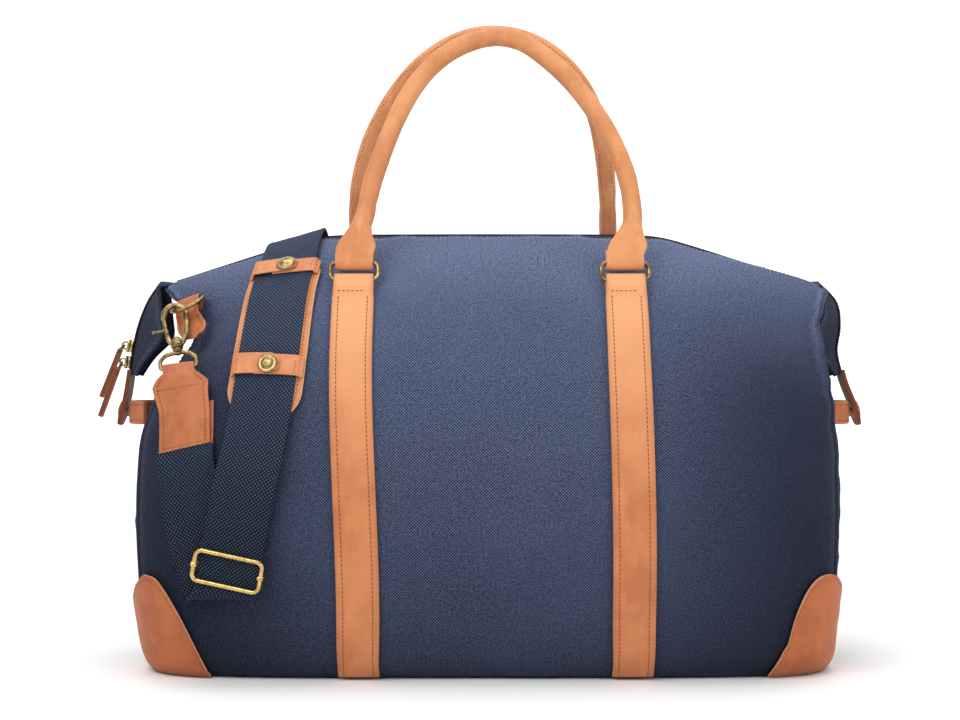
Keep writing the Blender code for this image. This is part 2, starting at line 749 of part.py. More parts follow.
def cap_rows(sign_x, side):
    """A patch round one bottom corner, highest on the upright edge of the bag."""
    rows = []
    end, edge, inner = CAP_ANGLES
    for level in spaced(0.0, 1.0, 6):
        row = []
        for angle in spaced(end, inner, 9):
            away = (angle - edge) / (edge - end if angle < edge else inner - edge)
            top = CAP_FOOT + 0.006 + CAP_RISE * math.sqrt(max(1 - abs(away) ** 2.2, 0.0))
            plan = side * (angle if sign_x > 0 else 180 - angle)
            z = CAP_FOOT + (top - CAP_FOOT) * level
            row.append(around(plan, height_to_v(plan, z), 0.0040))
        if sign_x * side < 0:
            row.reverse()
        rows.append(row)
    return rows


for end_name, sign_x in (("left", -1), ("right", 1)):
    for face_name, side in (("front", -1), ("rear", 1)):
        sheet(f"corner_cap_{face_name}_{end_name}", cap_rows(sign_x, side), 0.0016, "leather")


# ---------------------------------------------------------------- D-rings, hooks and strap ends
TAB_LEATHER = 0.0020
D_WIRE = 0.0015
D_LIFT = math.radians(28)  # the D-ring stands this far off the bag
EYE_WIRE = 0.0016
TAB_TILT = math.radians(25.0)  # the D-ring's bar rises this much towards the middle
# Strap end over the webbing: x, height and lift off the bag
STRAP_END_ROWS = [
    (-0.2249, 0.1745, 0.0048),
    (-0.2251, 0.1860, 0.0052),
    (-0.2254, 0.1960, 0.0060),
    (-0.2258, 0.2050, 0.0074),
]


def d_outline(centre, bar, hang, half, leg, count=10):
    """A D: a straight bar, two short legs and a half circle, in the bar and hang directions."""
    points = [centre - bar * half * k for k in (0.6, 0.2, -0.2, -0.6)]
    points += [centre + bar * half, centre + bar * half + hang * leg]
    for i in range(1, count):
        turn = math.pi * i / count
        points.append(centre + hang * (leg + half * math.sin(turn)) + bar * (half * math.cos(turn)))
    points += [centre - bar * half + hang * leg, centre - bar * half]
    return points


# Side views of the swivel hook, across and up from the middle of the eye's bar
EYE_HALF = 0.0135
EYE_OUTLINE = [(-0.5, 0.0), (0.0, 0.0), (0.5, 0.0), (0.93, 0.0007), (1.0, 0.0040), (0.97, 0.0085)]
EYE_OUTLINE += [(0.72, 0.0125), (0.35, 0.0142), (0.0, 0.0146), (-0.35, 0.0142), (-0.72, 0.0125)]
EYE_OUTLINE += [(-0.97, 0.0085), (-1.0, 0.0040), (-0.93, 0.0007)]
STEM_PROFILE = [(0.0, 0.0286), (0.0028, 0.0284), (0.0030, 0.0272), (0.0016, 0.0270), (0.0016, 0.0180)]
STEM_PROFILE += [(0.0034, 0.0178), (0.0038, 0.0150), (0.0026, 0.0140), (0.0, 0.0138)]
BARREL_PROFILE = [(0.0022, 0.0262), (0.0040, 0.0262), (0.0047, 0.0245), (0.0047, 0.0200)]
BARREL_PROFILE += [(0.0040, 0.0184), (0.0022, 0.0184), (0.0022, 0.0262)]
HOOK_LINE = [(0.0036, 0.0235), (0.0054, 0.0270), (0.0074, 0.0320), (0.0082, 0.0390), (0.0084, 0.0460)]
HOOK_LINE += [(0.0082, 0.0530), (0.0062, 0.0580), (0.0022, 0.0607), (-0.0022, 0.0605)]
HOOK_LINE += [(-0.0060, 0.0575), (-0.0082, 0.0525), (-0.0086, 0.0480)]
EAR_LINE = [(-0.0030, 0.0225), (-0.0056, 0.0262), (-0.0066, 0.0300)]
GATE_LINE = [(-0.0070, 0.0330), (-0.0079, 0.0390), (-0.0085, 0.0452)]
LEVER_LINE = [(-0.0074, 0.0365), (-0.0110, 0.0360), (-0.0165, 0.0352)]
GATE_PIVOT = (-0.0070, 0.0335)
D_HALF, D_LEG = 0.0125, 0.0080
D_CONTACT = math.radians(33)  # the hook rests this far round from the D's lowest point
TAB_LENGTH = 0.0405
TAB_HALF = 0.0105
END_HALF = 0.0205  # the strap end's half width round the webbing
NECK_HALF = 0.0110  # and where it goes through the eye


def bar_line(name, place, line, radius):
    """A round bar along a line of a side view."""
    return wire(name, [place @ Vector((x, 0, z)) for x, z in line], radius, cyclic=False)


def make_tab(foot, outward, strip, bar_dir, bar):
    """The leather tab, from its rounded end up to the fold round the D-ring's bar."""
    rows = []
    for along in (-0.0400, -0.0385, -0.0350, -0.0290, -0.0230, -0.0170):
        flat = foot + strip * along
        middle, _ = laid(flat.x, flat.z, -1, 0.0020 + TAB_LEATHER / 2)
        short = max(TAB_HALF - (along + TAB_LENGTH), 0.0)
        half = math.sqrt(TAB_HALF**2 - short**2)
        rows.append([middle + bar_dir * (half * k) for k in (-1, 0, 1)])
    for along, above in folded_end(D_WIRE, TAB_LEATHER, 0.0100, 0.0018)[1:]:
        middle = bar + strip * along + outward * above
        rows.append([middle + bar_dir * (0.0103 * k) for k in (-1, 0, 1)])
    return sheet("d_ring_tab_left", rows, TAB_LEATHER, "leather")


def make_strap_end(eye, up, across, back):
    """Leather folded round the eye's bar, widening to hold the webbing."""
    rows = []
    for x, z, lift in STRAP_END_ROWS:
        middle, normal = laid(x, z, -1, lift)
        lying = (across - normal * across.dot(normal)).normalized()
        rows.append([middle + lying * (END_HALF * k) for k in (-1, 1)])
    bend = EYE_WIRE + CLEAR + TAB_LEATHER / 2
    profile = [(-0.0150, bend - 0.0004, END_HALF), (-0.0110, bend, 0.0125), (-0.0050, bend, 0.0112)]
    for i in range(9):
        turn = math.pi / 2 - math.pi * i / 8
        profile.append((bend * math.cos(turn), bend * math.sin(turn), NECK_HALF))
    profile.append((-0.0100, -bend, NECK_HALF))
    for along, above, half in profile:
        middle = eye + up * along - back * above
        rows.append([middle + across * (half * k) for k in (-1, 1)])
    return sheet("strap_end_left", rows, TAB_LEATHER, "leather")


def make_strap_hardware():
    """The front left D-ring tab, D-ring, swivel hook and strap end."""
    foot, outward = laid(-0.2320, 0.2830, -1, 0.0)
    level = outward.cross(Vector((0, 0, 1))).normalized()
    if level.x < 0:
        level = -level
    upslope = Vector((0, 0, 1)) - outward * outward.z
    upslope.normalize()
    bar_dir = level * math.cos(TAB_TILT) + upslope * math.sin(TAB_TILT)
    strip = (upslope - bar_dir * upslope.dot(bar_dir)).normalized()
    bar = foot + outward * (BEDDED + TAB_LEATHER + CLEAR + D_WIRE)
    tab = make_tab(foot, outward, strip, bar_dir, bar)
    # the D-ring hangs down the slope and a little off it
    hang = outward * math.sin(D_LIFT) - strip * math.cos(D_LIFT)
    outline = d_outline(bar, bar_dir, hang, D_HALF, D_LEG)
    d_ring = add("d_ring_left", wire("d_ring_left", outline, D_WIRE), "brass", bar.copy())
    touch = D_LEG + D_HALF * math.cos(D_CONTACT)
    contact = bar - bar_dir * (D_HALF * math.sin(D_CONTACT)) + hang * touch
    # the hook's own frame: X across, Z up towards the D-ring and Y into the bag
    target, _ = laid(-0.2240, 0.2050, -1, 0.0150)
    up = (contact - target).normalized()
    eye = contact - up * HOOK_REACH
    across = (Vector((1, 0, 0)) - up * up.x).normalized()
    back = up.cross(across)
    place = frame_matrix(eye, across, up)
    twisted = place @ Matrix.Rotation(HOOK_TWIST, 4, "Z")
    eye_points = [place @ Vector((EYE_HALF * x, 0, z)) for x, z in EYE_OUTLINE]
    eye_piece = add("swivel_eye_left", wire("swivel_eye_left", eye_points, EYE_WIRE), "brass")
    join(eye_piece, world_mesh(turned("stem_left", STEM_PROFILE, None, place, 12)))
    # hook: a barrel round the stem, a bent bar and an ear for the gate
    hook = turned("hook_body_left", BARREL_PROFILE, "brass", place, 12)
    join(hook, bar_line("hook_bar_left", twisted, HOOK_LINE, 0.0022))
    join(hook, bar_line("hook_ear_left", twisted, EAR_LINE, 0.0019))
    pivot = twisted @ Vector((GATE_PIVOT[0], 0, GATE_PIVOT[1]))
    gate = add("hook_gate_left", bar_line("hook_gate_left", twisted, GATE_LINE, 0.0016), "brass", pivot)
    join(gate, bar_line("hook_lever_left", twisted, LEVER_LINE, 0.0011))
    end = make_strap_end(eye, up, across, back)
    return [tab, d_ring, eye_piece, hook, gate, end]


for piece in make_strap_hardware():
    turned_copy(piece, piece.name.replace("left", "right"))


# ---------------------------------------------------------------- webbing, its slider and the pad
def webbing_stations():
    """The middle of the webbing from the left end over the bag to the right end."""
    low, high = [laid(*p)[0] for p in STRAIGHT_RUN]
    straight = [low.lerp(high, share) for share in spaced(0.0, 1.0, 5)]
    before = [laid(*p)[0] for p in WEBBING_DOWN + WEBBING_FOLD]
    crest = on_bag(WEBBING_CREST[0], 0.0, WEBBING_CREST[1])[0]
    return before + straight + [laid(*p)[0] for p in WEBBING_UP] + [crest] + [
        laid(*p)[0] for p in WEBBING_REAR
    ]


def outward_at(point):
    """The bag's outward direction at the place on its surface nearest to the point, at the same x."""
    best, step = 0.0, 0.04
    places = [i * step - 1 for i in range(int(2 / step) + 1)]
    for _ in range(4):
        best = min(places, key=lambda t: (over(point.x, t) - point).length)
        step /= 5
        places = [best + i * step for i in range(-6, 7)]
    return on_bag(point.x, best, 0.0)[1]


def sweep_rows(points, per_gap):
    """Middles and width directions of a flat strip that follows the points and lies on the bag."""
    rows = []
    count = (len(points) - 1) * per_gap
    for i in range(count + 1):
        share = i / count
        here = Vector(smooth(points, share))
        run = Vector(smooth(points, share + 0.004)) - Vector(smooth(points, share - 0.004))
        wide = run.cross(outward_at(here)).normalized()
        rows.append((here, wide))
    return rows


POINTS = webbing_stations()
FOLD_AT = len(WEBBING_DOWN) + len(WEBBING_FOLD) / 2 - 0.5
FOLD_SPAN = 1.5  # in points either way
RUN_AT = len(WEBBING_DOWN) + len(WEBBING_FOLD)  # the first point of the straight run


def run_frame():
    """Low end of the straight run, and its directions upwards, across and away from the bag."""
    low, high = [laid(*p)[0] for p in STRAIGHT_RUN]
    up = (high - low).normalized()
    across = up.cross(outward_at(low)).normalized()
    if across.x < 0:
        across = -across
    outward = across.cross(up).normalized()
    if outward.y > 0:
        outward = -outward
    return low, up, across, outward


def webbing_rows():
    rows = []
    per_gap = 3
    flat_across = run_frame()[2]
    for i, (here, wide) in enumerate(sweep_rows(POINTS, per_gap)):
        place = i / per_gap
        # round the fold the strip stays nearly level while its direction turns over
        if abs(place - FOLD_AT) < FOLD_SPAN:
            turn = math.radians(-12 + 22 * (place - FOLD_AT + FOLD_SPAN) / (2 * FOLD_SPAN))
            normal = outward_at(here)
            wide = Vector((math.cos(turn), 0.0, -math.sin(turn)))
            wide = (wide - normal * wide.dot(normal)).normalized()
        if wide.x < 0 and here.y < 0.02:
            wide = -wide
        # flat along the straight run, for the slider, then turning with the bag
        if RUN_AT <= place < RUN_AT + 5:
            wide = flat_across.lerp(wide, min(max((place - RUN_AT - 3) / 2, 0.0), 1.0)).normalized()
        rows.append([here - wide * WEBBING_WIDTH / 2, here + wide * WEBBING_WIDTH / 2])
    for i in range(1, len(rows)):
        kept = (rows[i][0] - rows[i - 1][0]).length + (rows[i][1] - rows[i - 1][1]).length
        swapped = (rows[i][1] - rows[i - 1][0]).length + (rows[i][0] - rows[i - 1][1]).length
        if swapped < kept:
            rows[i].reverse()
    return rows


sheet("webbing", webbing_rows(), WEBBING, "webbing")


def strand_frame(share):
    """Middle, up-strand, across and outward directions on the front strand, by share of its path."""
    count = len(POINTS) - 1
    first = len(WEBBING_DOWN) + len(WEBBING_FOLD) + 5 - 1
    place = (first + share * 5) / count
    here = Vector(smooth(POINTS, place))
    run = (Vector(smooth(POINTS, place + 0.004)) - Vector(smooth(POINTS, place - 0.004))).normalized()
    across = run.cross(outward_at(here)).normalized()
    if across.x < 0:
        across = -across
    outward = across.cross(run).normalized()
    if outward.dot(outward_at(here)) < 0:
        outward = -outward
    return here, run, across, outward


SLIDER_WIRE = 0.00175
SLIDER_HALF_WIDE, SLIDER_HALF_TALL = 0.0252, 0.0113
SLIDER_BAR = [(-1.0, 0.0), (-0.985, 0.55), (-0.95, 1.0), (0.0, 1.0), (0.95, 1.0), (0.985, 0.55), (1.0, 0.0)]


def make_strap_slider():
    """A rounded oblong of wire in front of the webbing, with a middle bar that passes behind it."""
    low, up, across, outward = run_frame()
    middle = low + up * SLIDER_UP + outward * (WEBBING / 2 + CLEAR + SLIDER_WIRE)
    outline = oblong(SLIDER_HALF_WIDE, SLIDER_HALF_TALL, 0.0050)
    points = [middle + across * px + up * pz for px, pz in outline]
    slider = add("strap_slider", wire("strap_slider", points, SLIDER_WIRE), "brass", middle.copy())
    drop = WEBBING + 2 * CLEAR + SLIDER_WIRE + 0.0014
    bar = [middle + across * (SLIDER_HALF_WIDE * x) - outward * (drop * deep) for x, deep in SLIDER_BAR]
    return join(slider, wire("slider_bar", bar, 0.0013, cyclic=False))


make_strap_slider()


PAD_SPAN = (0.30, 1.03)  # of the strand's path
PAD_LENGTH = 0.119
PAD_CORNER = 0.016
BAND_LEATHER = 0.0015
BAND_HALF = 0.0078
BAND_REACH = 0.0275  # from the middle of the webbing out to the pad's margin
BANDS = {"upper": 0.965, "lower": 0.515}  # share of the strand's path
OVER_GAP, UNDER_GAP = 0.0028, 0.0007  # of the two layers of a band, off the webbing


def pad_rows():
    """The pad behind the webbing, with rounded corners."""
    rows = []
    first, last = PAD_SPAN
    for share in spaced(first, last, 19):
        here, run, across, outward = strand_frame(share)
        from_end = min(share - first, last - share) / (last - first) * PAD_LENGTH
        half = PAD_WIDTH / 2
        if from_end < PAD_CORNER:
            half += math.sqrt(PAD_CORNER**2 - (PAD_CORNER - from_end) ** 2) - PAD_CORNER
        middle = here - outward * (WEBBING / 2 + CLEAR + 0.0010)
        rows.append([middle + across * (half * k) for k in (-1, 0, 1)])
    return rows


def band_rows(share, reach_from, reach_to, over_gap, round_end):
    """A leather strip across the webbing: it starts on the pad's margin and steps up over it."""
    here, run, across, outward = strand_frame(share)
    top = WEBBING / 2 + over_gap + 0.0008
    low = 0.0008 - WEBBING / 2 - CLEAR + over_gap * 0.2
    rows = []
    side = math.copysign(1, reach_from)
    for x in spaced(reach_from, reach_to, 15):
        step = min(max((abs(reach_from) - 0.0012 - x * side) / 0.0022, 0.0), 1.0)
        height = low + (top - low) * step * step * (3 - 2 * step)
        half = BAND_HALF
        if round_end:
            short = max(BAND_HALF - abs(x - reach_to), 0.0)
            half = max(math.sqrt(BAND_HALF**2 - short**2), 0.0018)
        centre = here + across * x + outward * height
        rows.append([centre - run * half, centre, centre + run * half])
    return rows


sheet("shoulder_pad", pad_rows(), 0.0020, "leather")
for band_name, share in BANDS.items():
    here, run, across, outward = strand_frame(share)
    under = band_rows(share, BAND_REACH, -0.0090, UNDER_GAP, False)
    sheet("band_under_" + band_name, under, BAND_LEATHER, "leather")
    band_hinge = here - across * 0.0265 + outward * 0.0010
    over_rows = band_rows(share, -BAND_REACH, 0.0100, OVER_GAP, True)
    sheet("band_over_" + band_name, over_rows, BAND_LEATHER, "leather", band_hinge)
    cap_lift = WEBBING / 2 + OVER_GAP + 0.0008 + BAND_LEATHER / 2 + CLEAR
    cap_at = here + across * 0.0020 + outward * cap_lift
    turned("band_snap_" + band_name, CAP_PROFILE, "brass", frame_matrix(cap_at, across, outward))
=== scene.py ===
"""Looks of the weekender bag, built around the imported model: washed canvas, stitched tan leather,
woven webbing and antique brass."""

import json
import math

import bmesh
import bpy
from mathutils import Matrix, Vector, noise

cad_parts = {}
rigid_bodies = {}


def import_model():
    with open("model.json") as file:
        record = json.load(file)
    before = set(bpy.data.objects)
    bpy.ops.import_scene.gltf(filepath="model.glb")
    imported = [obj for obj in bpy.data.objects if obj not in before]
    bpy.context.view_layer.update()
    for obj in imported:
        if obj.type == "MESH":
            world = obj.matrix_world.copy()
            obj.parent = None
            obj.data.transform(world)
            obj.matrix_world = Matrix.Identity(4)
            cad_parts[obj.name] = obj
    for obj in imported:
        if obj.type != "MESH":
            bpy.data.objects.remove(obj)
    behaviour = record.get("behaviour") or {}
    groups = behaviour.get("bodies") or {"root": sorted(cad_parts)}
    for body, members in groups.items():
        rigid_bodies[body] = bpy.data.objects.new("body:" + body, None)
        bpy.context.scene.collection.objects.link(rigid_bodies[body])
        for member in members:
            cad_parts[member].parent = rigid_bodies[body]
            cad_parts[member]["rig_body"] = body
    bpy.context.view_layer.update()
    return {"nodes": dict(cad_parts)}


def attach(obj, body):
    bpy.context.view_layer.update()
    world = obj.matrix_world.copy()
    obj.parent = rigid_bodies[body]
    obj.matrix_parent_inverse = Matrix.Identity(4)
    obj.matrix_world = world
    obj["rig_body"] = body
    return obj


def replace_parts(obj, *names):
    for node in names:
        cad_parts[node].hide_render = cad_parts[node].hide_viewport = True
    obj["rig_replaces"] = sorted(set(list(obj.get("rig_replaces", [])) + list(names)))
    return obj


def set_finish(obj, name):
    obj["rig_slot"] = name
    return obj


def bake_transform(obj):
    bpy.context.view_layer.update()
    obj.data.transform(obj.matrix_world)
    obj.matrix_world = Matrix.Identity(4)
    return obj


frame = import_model()

# ---------------------------------------------------------------- the part's own dimensions
BODY_TOP, SHOULDER_START, SHOULDER_SLOPE = 0.342, 0.137, 0.325
CORNER = 5.0
SEAM_ANGLE = 35.0
CLEAR = 0.0004
LEATHER = 0.0026
STRAP_WIDTH = 0.0305
STRAP_X = 0.104
WEBBING_WIDTH = 0.046
WEBBING = 0.0022
PAD_WIDTH = 0.0555
HANDLE_TUBE = 0.0075
RING_WIDTH, RING_BARS, RING_WIRE = 0.040, 0.0137, 0.00165
BEDDED = 0.0008
RING_HEIGHT = 0.2985
LOOP_HALF, LOOP_TAIL = 0.0144, 0.012
PANEL_EDGE = 0.0145
# half depth, height at the middle and half length, from the bottom seam up to the zip
BODY_ROWS = [
    (0.098, 0.003, 0.262),
    (0.112, 0.020, 0.268),
    (0.124, 0.060, 0.274),
    (0.131, 0.120, 0.277),
    (0.127, 0.180, 0.277),
    (0.113, 0.232, 0.268),
    (0.088, 0.281, 0.254),
    (0.052, 0.318, 0.256),
    (0.020, 0.337, 0.262),
    (0.000, 0.342, 0.262),
]
# a drop end from its hinge down: x and z of its middle line, half width, and how far its edges turn in and drop
WING_ROWS = [
    (-0.2645, 0.3035, 0.020, 0.000, -0.004),
    (-0.2755, 0.2870, 0.024, 0.013, -0.008),
    (-0.2830, 0.2680, 0.020, 0.022, -0.006),
    (-0.2875, 0.2480, 0.014, 0.018, -0.003),
    (-0.2900, 0.2290, 0.0115, 0.010, -0.001),
]
END_TAB = (Vector((-0.2908, 0.0, 0.2278)), Vector((-0.2995, 0.0, 0.1880)))
SIDE_TAB_REACH, SIDE_TAB_Z = 0.2905, 0.1985
# each zip slider's height, and the slope of its drop end there
SLIDERS = {"a": (0.2507, 0.2195), "b": (0.2380, 0.130)}
# the handles' middle lines: x, and height over the rings along their lean
FRONT_ARCH = [
    (-0.1015, 0.022),
    (-0.0965, 0.040),
    (-0.0900, 0.072),
    (-0.0740, 0.120),
    (-0.0560, 0.155),
    (-0.0320, 0.180),
    (-0.0020, 0.193),
    (0.0245, 0.190),
    (0.0485, 0.172),
    (0.0700, 0.148),
    (0.0912, 0.114),
    (0.1065, 0.075),
    (0.1110, 0.040),
    (0.1080, 0.022),
]
# the rear handle before its half turn: it stands a little taller
REAR_ARCH = [
    (-0.1015, 0.022),
    (-0.1010, 0.040),
    (-0.0985, 0.085),
    (-0.0900, 0.130),
    (-0.0770, 0.158),
    (-0.0560, 0.182),
    (-0.0290, 0.197),
    (0.0010, 0.201),
    (0.0290, 0.194),
    (0.0560, 0.176),
    (0.0790, 0.149),
    (0.0980, 0.114),
    (0.1090, 0.075),
    (0.1110, 0.040),
    (0.1080, 0.022),
]
# the webbing's middle line: x, z, face of the bag (-1 front, 1 rear) and height over the canvas
WEBBING_DOWN = [
    (-0.2250, 0.1770, -1, 0.0032),
    (-0.2249, 0.1680, -1, 0.0040),
    (-0.2225, 0.1500, -1, 0.0026),
    (-0.2200, 0.1264, -1, 0.0024),
    (-0.2130, 0.0980, -1, 0.0024),
    (-0.2045, 0.0715, -1, 0.0028),
]
WEBBING_FOLD = [(-0.2000, 0.0665, -1, 0.0062), (-0.1968, 0.0685, -1, 0.0092)]
STRAIGHT_RUN = [(-0.1938, 0.0715, -1, 0.0108), (-0.1785, 0.1470, -1, 0.0122)]
WEBBING_UP = [
    (-0.1722, 0.1800, -1, 0.0075),
    (-0.1668, 0.2176, -1, 0.0054),
    (-0.1640, 0.2461, -1, 0.0054),
    (-0.1605, 0.2868, -1, 0.0054),
    (-0.1565, 0.3100, -1, 0.0054),
    (-0.1548, 0.3270, -1, 0.0054),
]
WEBBING_CREST = (-0.1535, 0.0050)
WEBBING_REAR = [
    (-0.1525, 0.3270, 1, 0.0046),
    (-0.1515, 0.3100, 1, 0.0040),
    (-0.1500, 0.2800, 1, 0.0036),
    (-0.1420, 0.2350, 1, 0.0062),
    (-0.1180, 0.1800, 1, 0.0072),
    (-0.0750, 0.1300, 1, 0.0072),
    (-0.0150, 0.0960, 1, 0.0066),
    (0.0500, 0.0830, 1, 0.0066),
    (0.1100, 0.0870, 1, 0.0072),
    (0.1650, 0.1040, 1, 0.0056),
    (0.2050, 0.1320, 1, 0.0040),
    (0.2225, 0.1550, 1, 0.0036),
    (0.2249, 0.1680, 1, 0.0040),
    (0.2250, 0.1770, 1, 0.0032),
]
# how far up the straight run the adjuster sits
SLIDER_UP = 0.0170
X_AXIS, Y_AXIS, Z_AXIS = Vector((1, 0, 0)), Vector((0, 1, 0)), Vector((0, 0, 1))


# ---------------------------------------------------------------- the bag's outer surface
def spaced(first, last, count):
    return [first + (last - first) * i / (count - 1) for i in range(count)]


def ease(value):
    value = min(max(value, 0.0), 1.0)
    return value * value * (3 - 2 * value)


def smooth(rows, t):
    """A Catmull-Rom curve through rows, t from 0 at the first to 1 at the last."""
    place = min(max(t, 0.0), 1.0) * (len(rows) - 1)
    i = min(int(place), len(rows) - 2)
    f = place - i
    before, here, there, after = rows[max(i - 1, 0)], rows[i], rows[i + 1], rows[min(i + 2, len(rows) - 1)]
    return [
        0.5 * (2 * b + (c - a) * f + (2 * a - 5 * b + 4 * c - d) * f * f + (3 * b - 3 * c + d - a) * f**3)
        for a, b, c, d in zip(before, here, there, after)
    ]


def top_line(x):
    beyond = abs(x) - SHOULDER_START
    return BODY_TOP - SHOULDER_SLOPE * 0.5 * (beyond + math.hypot(beyond, 0.015))


def superellipse(turn, power):
    """A point at this angle of a rounded square, 1 from its middle to each side; power 2 is a circle."""
    c, s = math.cos(turn), math.sin(turn)
    size = (abs(c) ** power + abs(s) ** power) ** (1 / power)
    return c / size, s / size


def turns(count, start=0.0):
    return [2 * math.pi * (i + start) / count for i in range(count)]


def plan_point(angle, row):
    depth, height, reach = row
    c, s = superellipse(angle, CORNER)
    x = reach * c
    return Vector((x, max(depth, 0.0) * s, height * top_line(x) / BODY_TOP))


def around(angle, v):
    """Point and outward direction by the angle from the X axis in plan, and v up the side."""
    turn = math.radians(angle)
    row = smooth(BODY_ROWS, v)
    sideways = plan_point(turn + 0.002, row) - plan_point(turn - 0.002, row)
    upward = plan_point(turn, smooth(BODY_ROWS, min(v + 0.002, 1.0)))
    upward -= plan_point(turn, smooth(BODY_ROWS, v - 0.002))
    return plan_point(turn, row), sideways.cross(upward).normalized()


def over(x, t):
    """A point on the surface by x, and t from -1 at the front seam over the zip to 1 behind."""
    depth, height, reach = smooth(BODY_ROWS, 1 - abs(t))
    c = min(abs(x) / reach, 0.999)
    y = math.copysign(max(depth, 0.0), t) * (1 - c**CORNER) ** (1 / CORNER)
    return Vector((x, y, height * top_line(x) / BODY_TOP))


def on_bag(x, t, lift):
    sideways = over(x + 0.0005, t) - over(x - 0.0005, t)
    forward = over(x, t + 0.002) - over(x, t - 0.002)
    outward = sideways.cross(forward).normalized()
    return over(x, t) + outward * lift, outward


def halved(low, high, is_below):
    """The value between low and high where is_below turns false."""
    for _ in range(40):
        middle = (low + high) / 2
        if is_below(middle):
            low = middle
        else:
            high = middle
    return low


def at_height(x, z, side):
    return side * (1 - halved(0.0, 1.0, lambda v: over(x, side * (1 - v)).z < z))


def at_depth(depth):
    return halved(0.7, 1.0, lambda v: smooth(BODY_ROWS, v)[0] > depth)


def laid(x, z, side, lift):
    return on_bag(x, at_height(x, z, side), lift)


def outward_at(point):
    """The bag's outward direction at the surface point nearest to this one, at the same x."""
    best, step = 0.0, 0.04
    places = [i * step - 1 for i in range(int(2 / step) + 1)]
    for _ in range(4):
        best = min(places, key=lambda t: (over(point.x, t) - point).length)
        step /= 5
        places = [best + i * step for i in range(-6, 7)]
    return on_bag(point.x, best, 0.0)[1]


# ---------------------------------------------------------------- materials
def node(tree, kind, values=None, **settings):
    """A shader node; values fills its input sockets, and a socket given as a value is linked."""
    made = tree.nodes.new("ShaderNode" + kind)
    for key, value in settings.items():
        setattr(made, key, value)
    for key, value in (values or {}).items():
        if isinstance(value, bpy.types.NodeSocket):
            tree.links.new(value, made.inputs[key])
        else:
            made.inputs[key].default_value = value
    return made


def math_node(tree, operation, first, second=0.0, third=None):
    values = {0: first, 1: second}
    if third is not None:
        values[2] = third
    return node(tree, "Math", values, operation=operation).outputs[0]


def mix(tree, factor, first, second, blend="MIX"):
    """Colour mix; first and second are colours or sockets."""
    made = node(tree, "Mix", data_type="RGBA", blend_type=blend)
    for socket, value in ((made.inputs[0], factor), (made.inputs[6], first), (made.inputs[7], second)):
        if isinstance(value, bpy.types.NodeSocket):
            tree.links.new(value, socket)
        elif isinstance(value, tuple):
            socket.default_value = (*value, 1.0)
        else:
            socket.default_value = value
    return made.outputs[2]


def ramp(tree, factor, low, high):
    """0 below low, 1 above high, smooth between."""
    return node(
        tree, "MapRange", {0: factor, 1: low, 2: high}, interpolation_type="SMOOTHSTEP", clamp=True
    ).outputs[0]


def grain(tree, coords, scale, stretch=(1, 1, 1), detail=2.0, rough=0.5):
    placed = node(tree, "Mapping", {0: coords, 3: stretch}).outputs[0]
    values = {"Vector": placed, "Scale": scale, "Detail": detail, "Roughness": rough}
    return node(tree, "TexNoise", values).outputs["Fac"]


def in_space(tree):
    return node(tree, "TexCoord").outputs["Object"]


def span(tree, factor, low, high, to_low, to_high):
    """Low to high carried over to another span of values, and held at its ends."""
    return node(tree, "MapRange", {0: factor, 1: low, 2: high, 3: to_low, 4: to_high}).outputs[0]


def wandering(tree, where, scale, detail, amount):
    """Coordinates moved about a little by slow noise, so that rows of yarn aren't dead straight."""
    noisy = node(tree, "TexNoise", {"Vector": where, "Scale": scale, "Detail": detail}).outputs["Color"]
    nudge = node(tree, "VectorMath", {0: noisy, 1: (0.5, 0.5, 0.5)}, operation="SUBTRACT").outputs[0]
    nudge = node(tree, "VectorMath", {0: nudge, "Scale": amount}, operation="SCALE").outputs[0]
    return node(tree, "VectorMath", {0: where, 1: nudge}, operation="ADD").outputs[0]


def new_look(name, roughness, metallic=0.0, specular=0.5, sheen=0.0):
    mat = bpy.data.materials.new(name)
    mat.use_nodes = True
    shader = mat.node_tree.nodes["Principled BSDF"]
    shader.inputs["Roughness"].default_value = roughness
    shader.inputs["Metallic"].default_value = metallic
    shader.inputs["Specular IOR Level"].default_value = specular
    shader.inputs["Sheen Weight"].default_value = sheen
    shader.inputs["Sheen Roughness"].default_value = 0.6
    return mat, mat.node_tree, shader


def bumped(tree, shader, height, strength, distance):
    bump = node(tree, "Bump", {"Height": height, "Strength": strength, "Distance": distance})
    tree.links.new(bump.outputs[0], shader.inputs["Normal"])


def colour_of(tree, shader, socket):
    tree.links.new(socket, shader.inputs["Base Color"])


def threads(tree, coords, pitch):
    """Two sines at right angles: the crossings of a plain weave, from -1 to 1."""
    parts = node(tree, "SeparateXYZ", {0: coords})
    turn = 2 * math.pi / pitch
    across = math_node(tree, "SINE", math_node(tree, "MULTIPLY", parts.outputs[0], turn))
    along = math_node(tree, "SINE", math_node(tree, "MULTIPLY", parts.outputs[1], turn))
    return math_node(tree, "MULTIPLY", across, along)


def painted_shade_by_place(tree, where):
    """Painted light and shade: darker low down and towards the ends and lighter up high, as the light from above
    falls: 1 at the top middle, less elsewhere.
    """
    parts = node(tree, "SeparateXYZ", {0: where})
    side = math_node(tree, "ABSOLUTE", parts.outputs[0])
    height = parts.outputs[2]
    # painted light: the colour rises with height, as the light from above falls on the top
    lit_from_above = span(tree, height, 0.0, 0.33, 0.47, 1.34)
    # painted shade: darker towards the ends and low down, where the light falls off
    ends = math_node(tree, "MULTIPLY", ramp(tree, side, 0.07, 0.25), ramp(tree, height, 0.33, 0.20))
    return math_node(tree, "MULTIPLY", lit_from_above, math_node(tree, "MULTIPLY_ADD", ends, -0.72, 1.0))


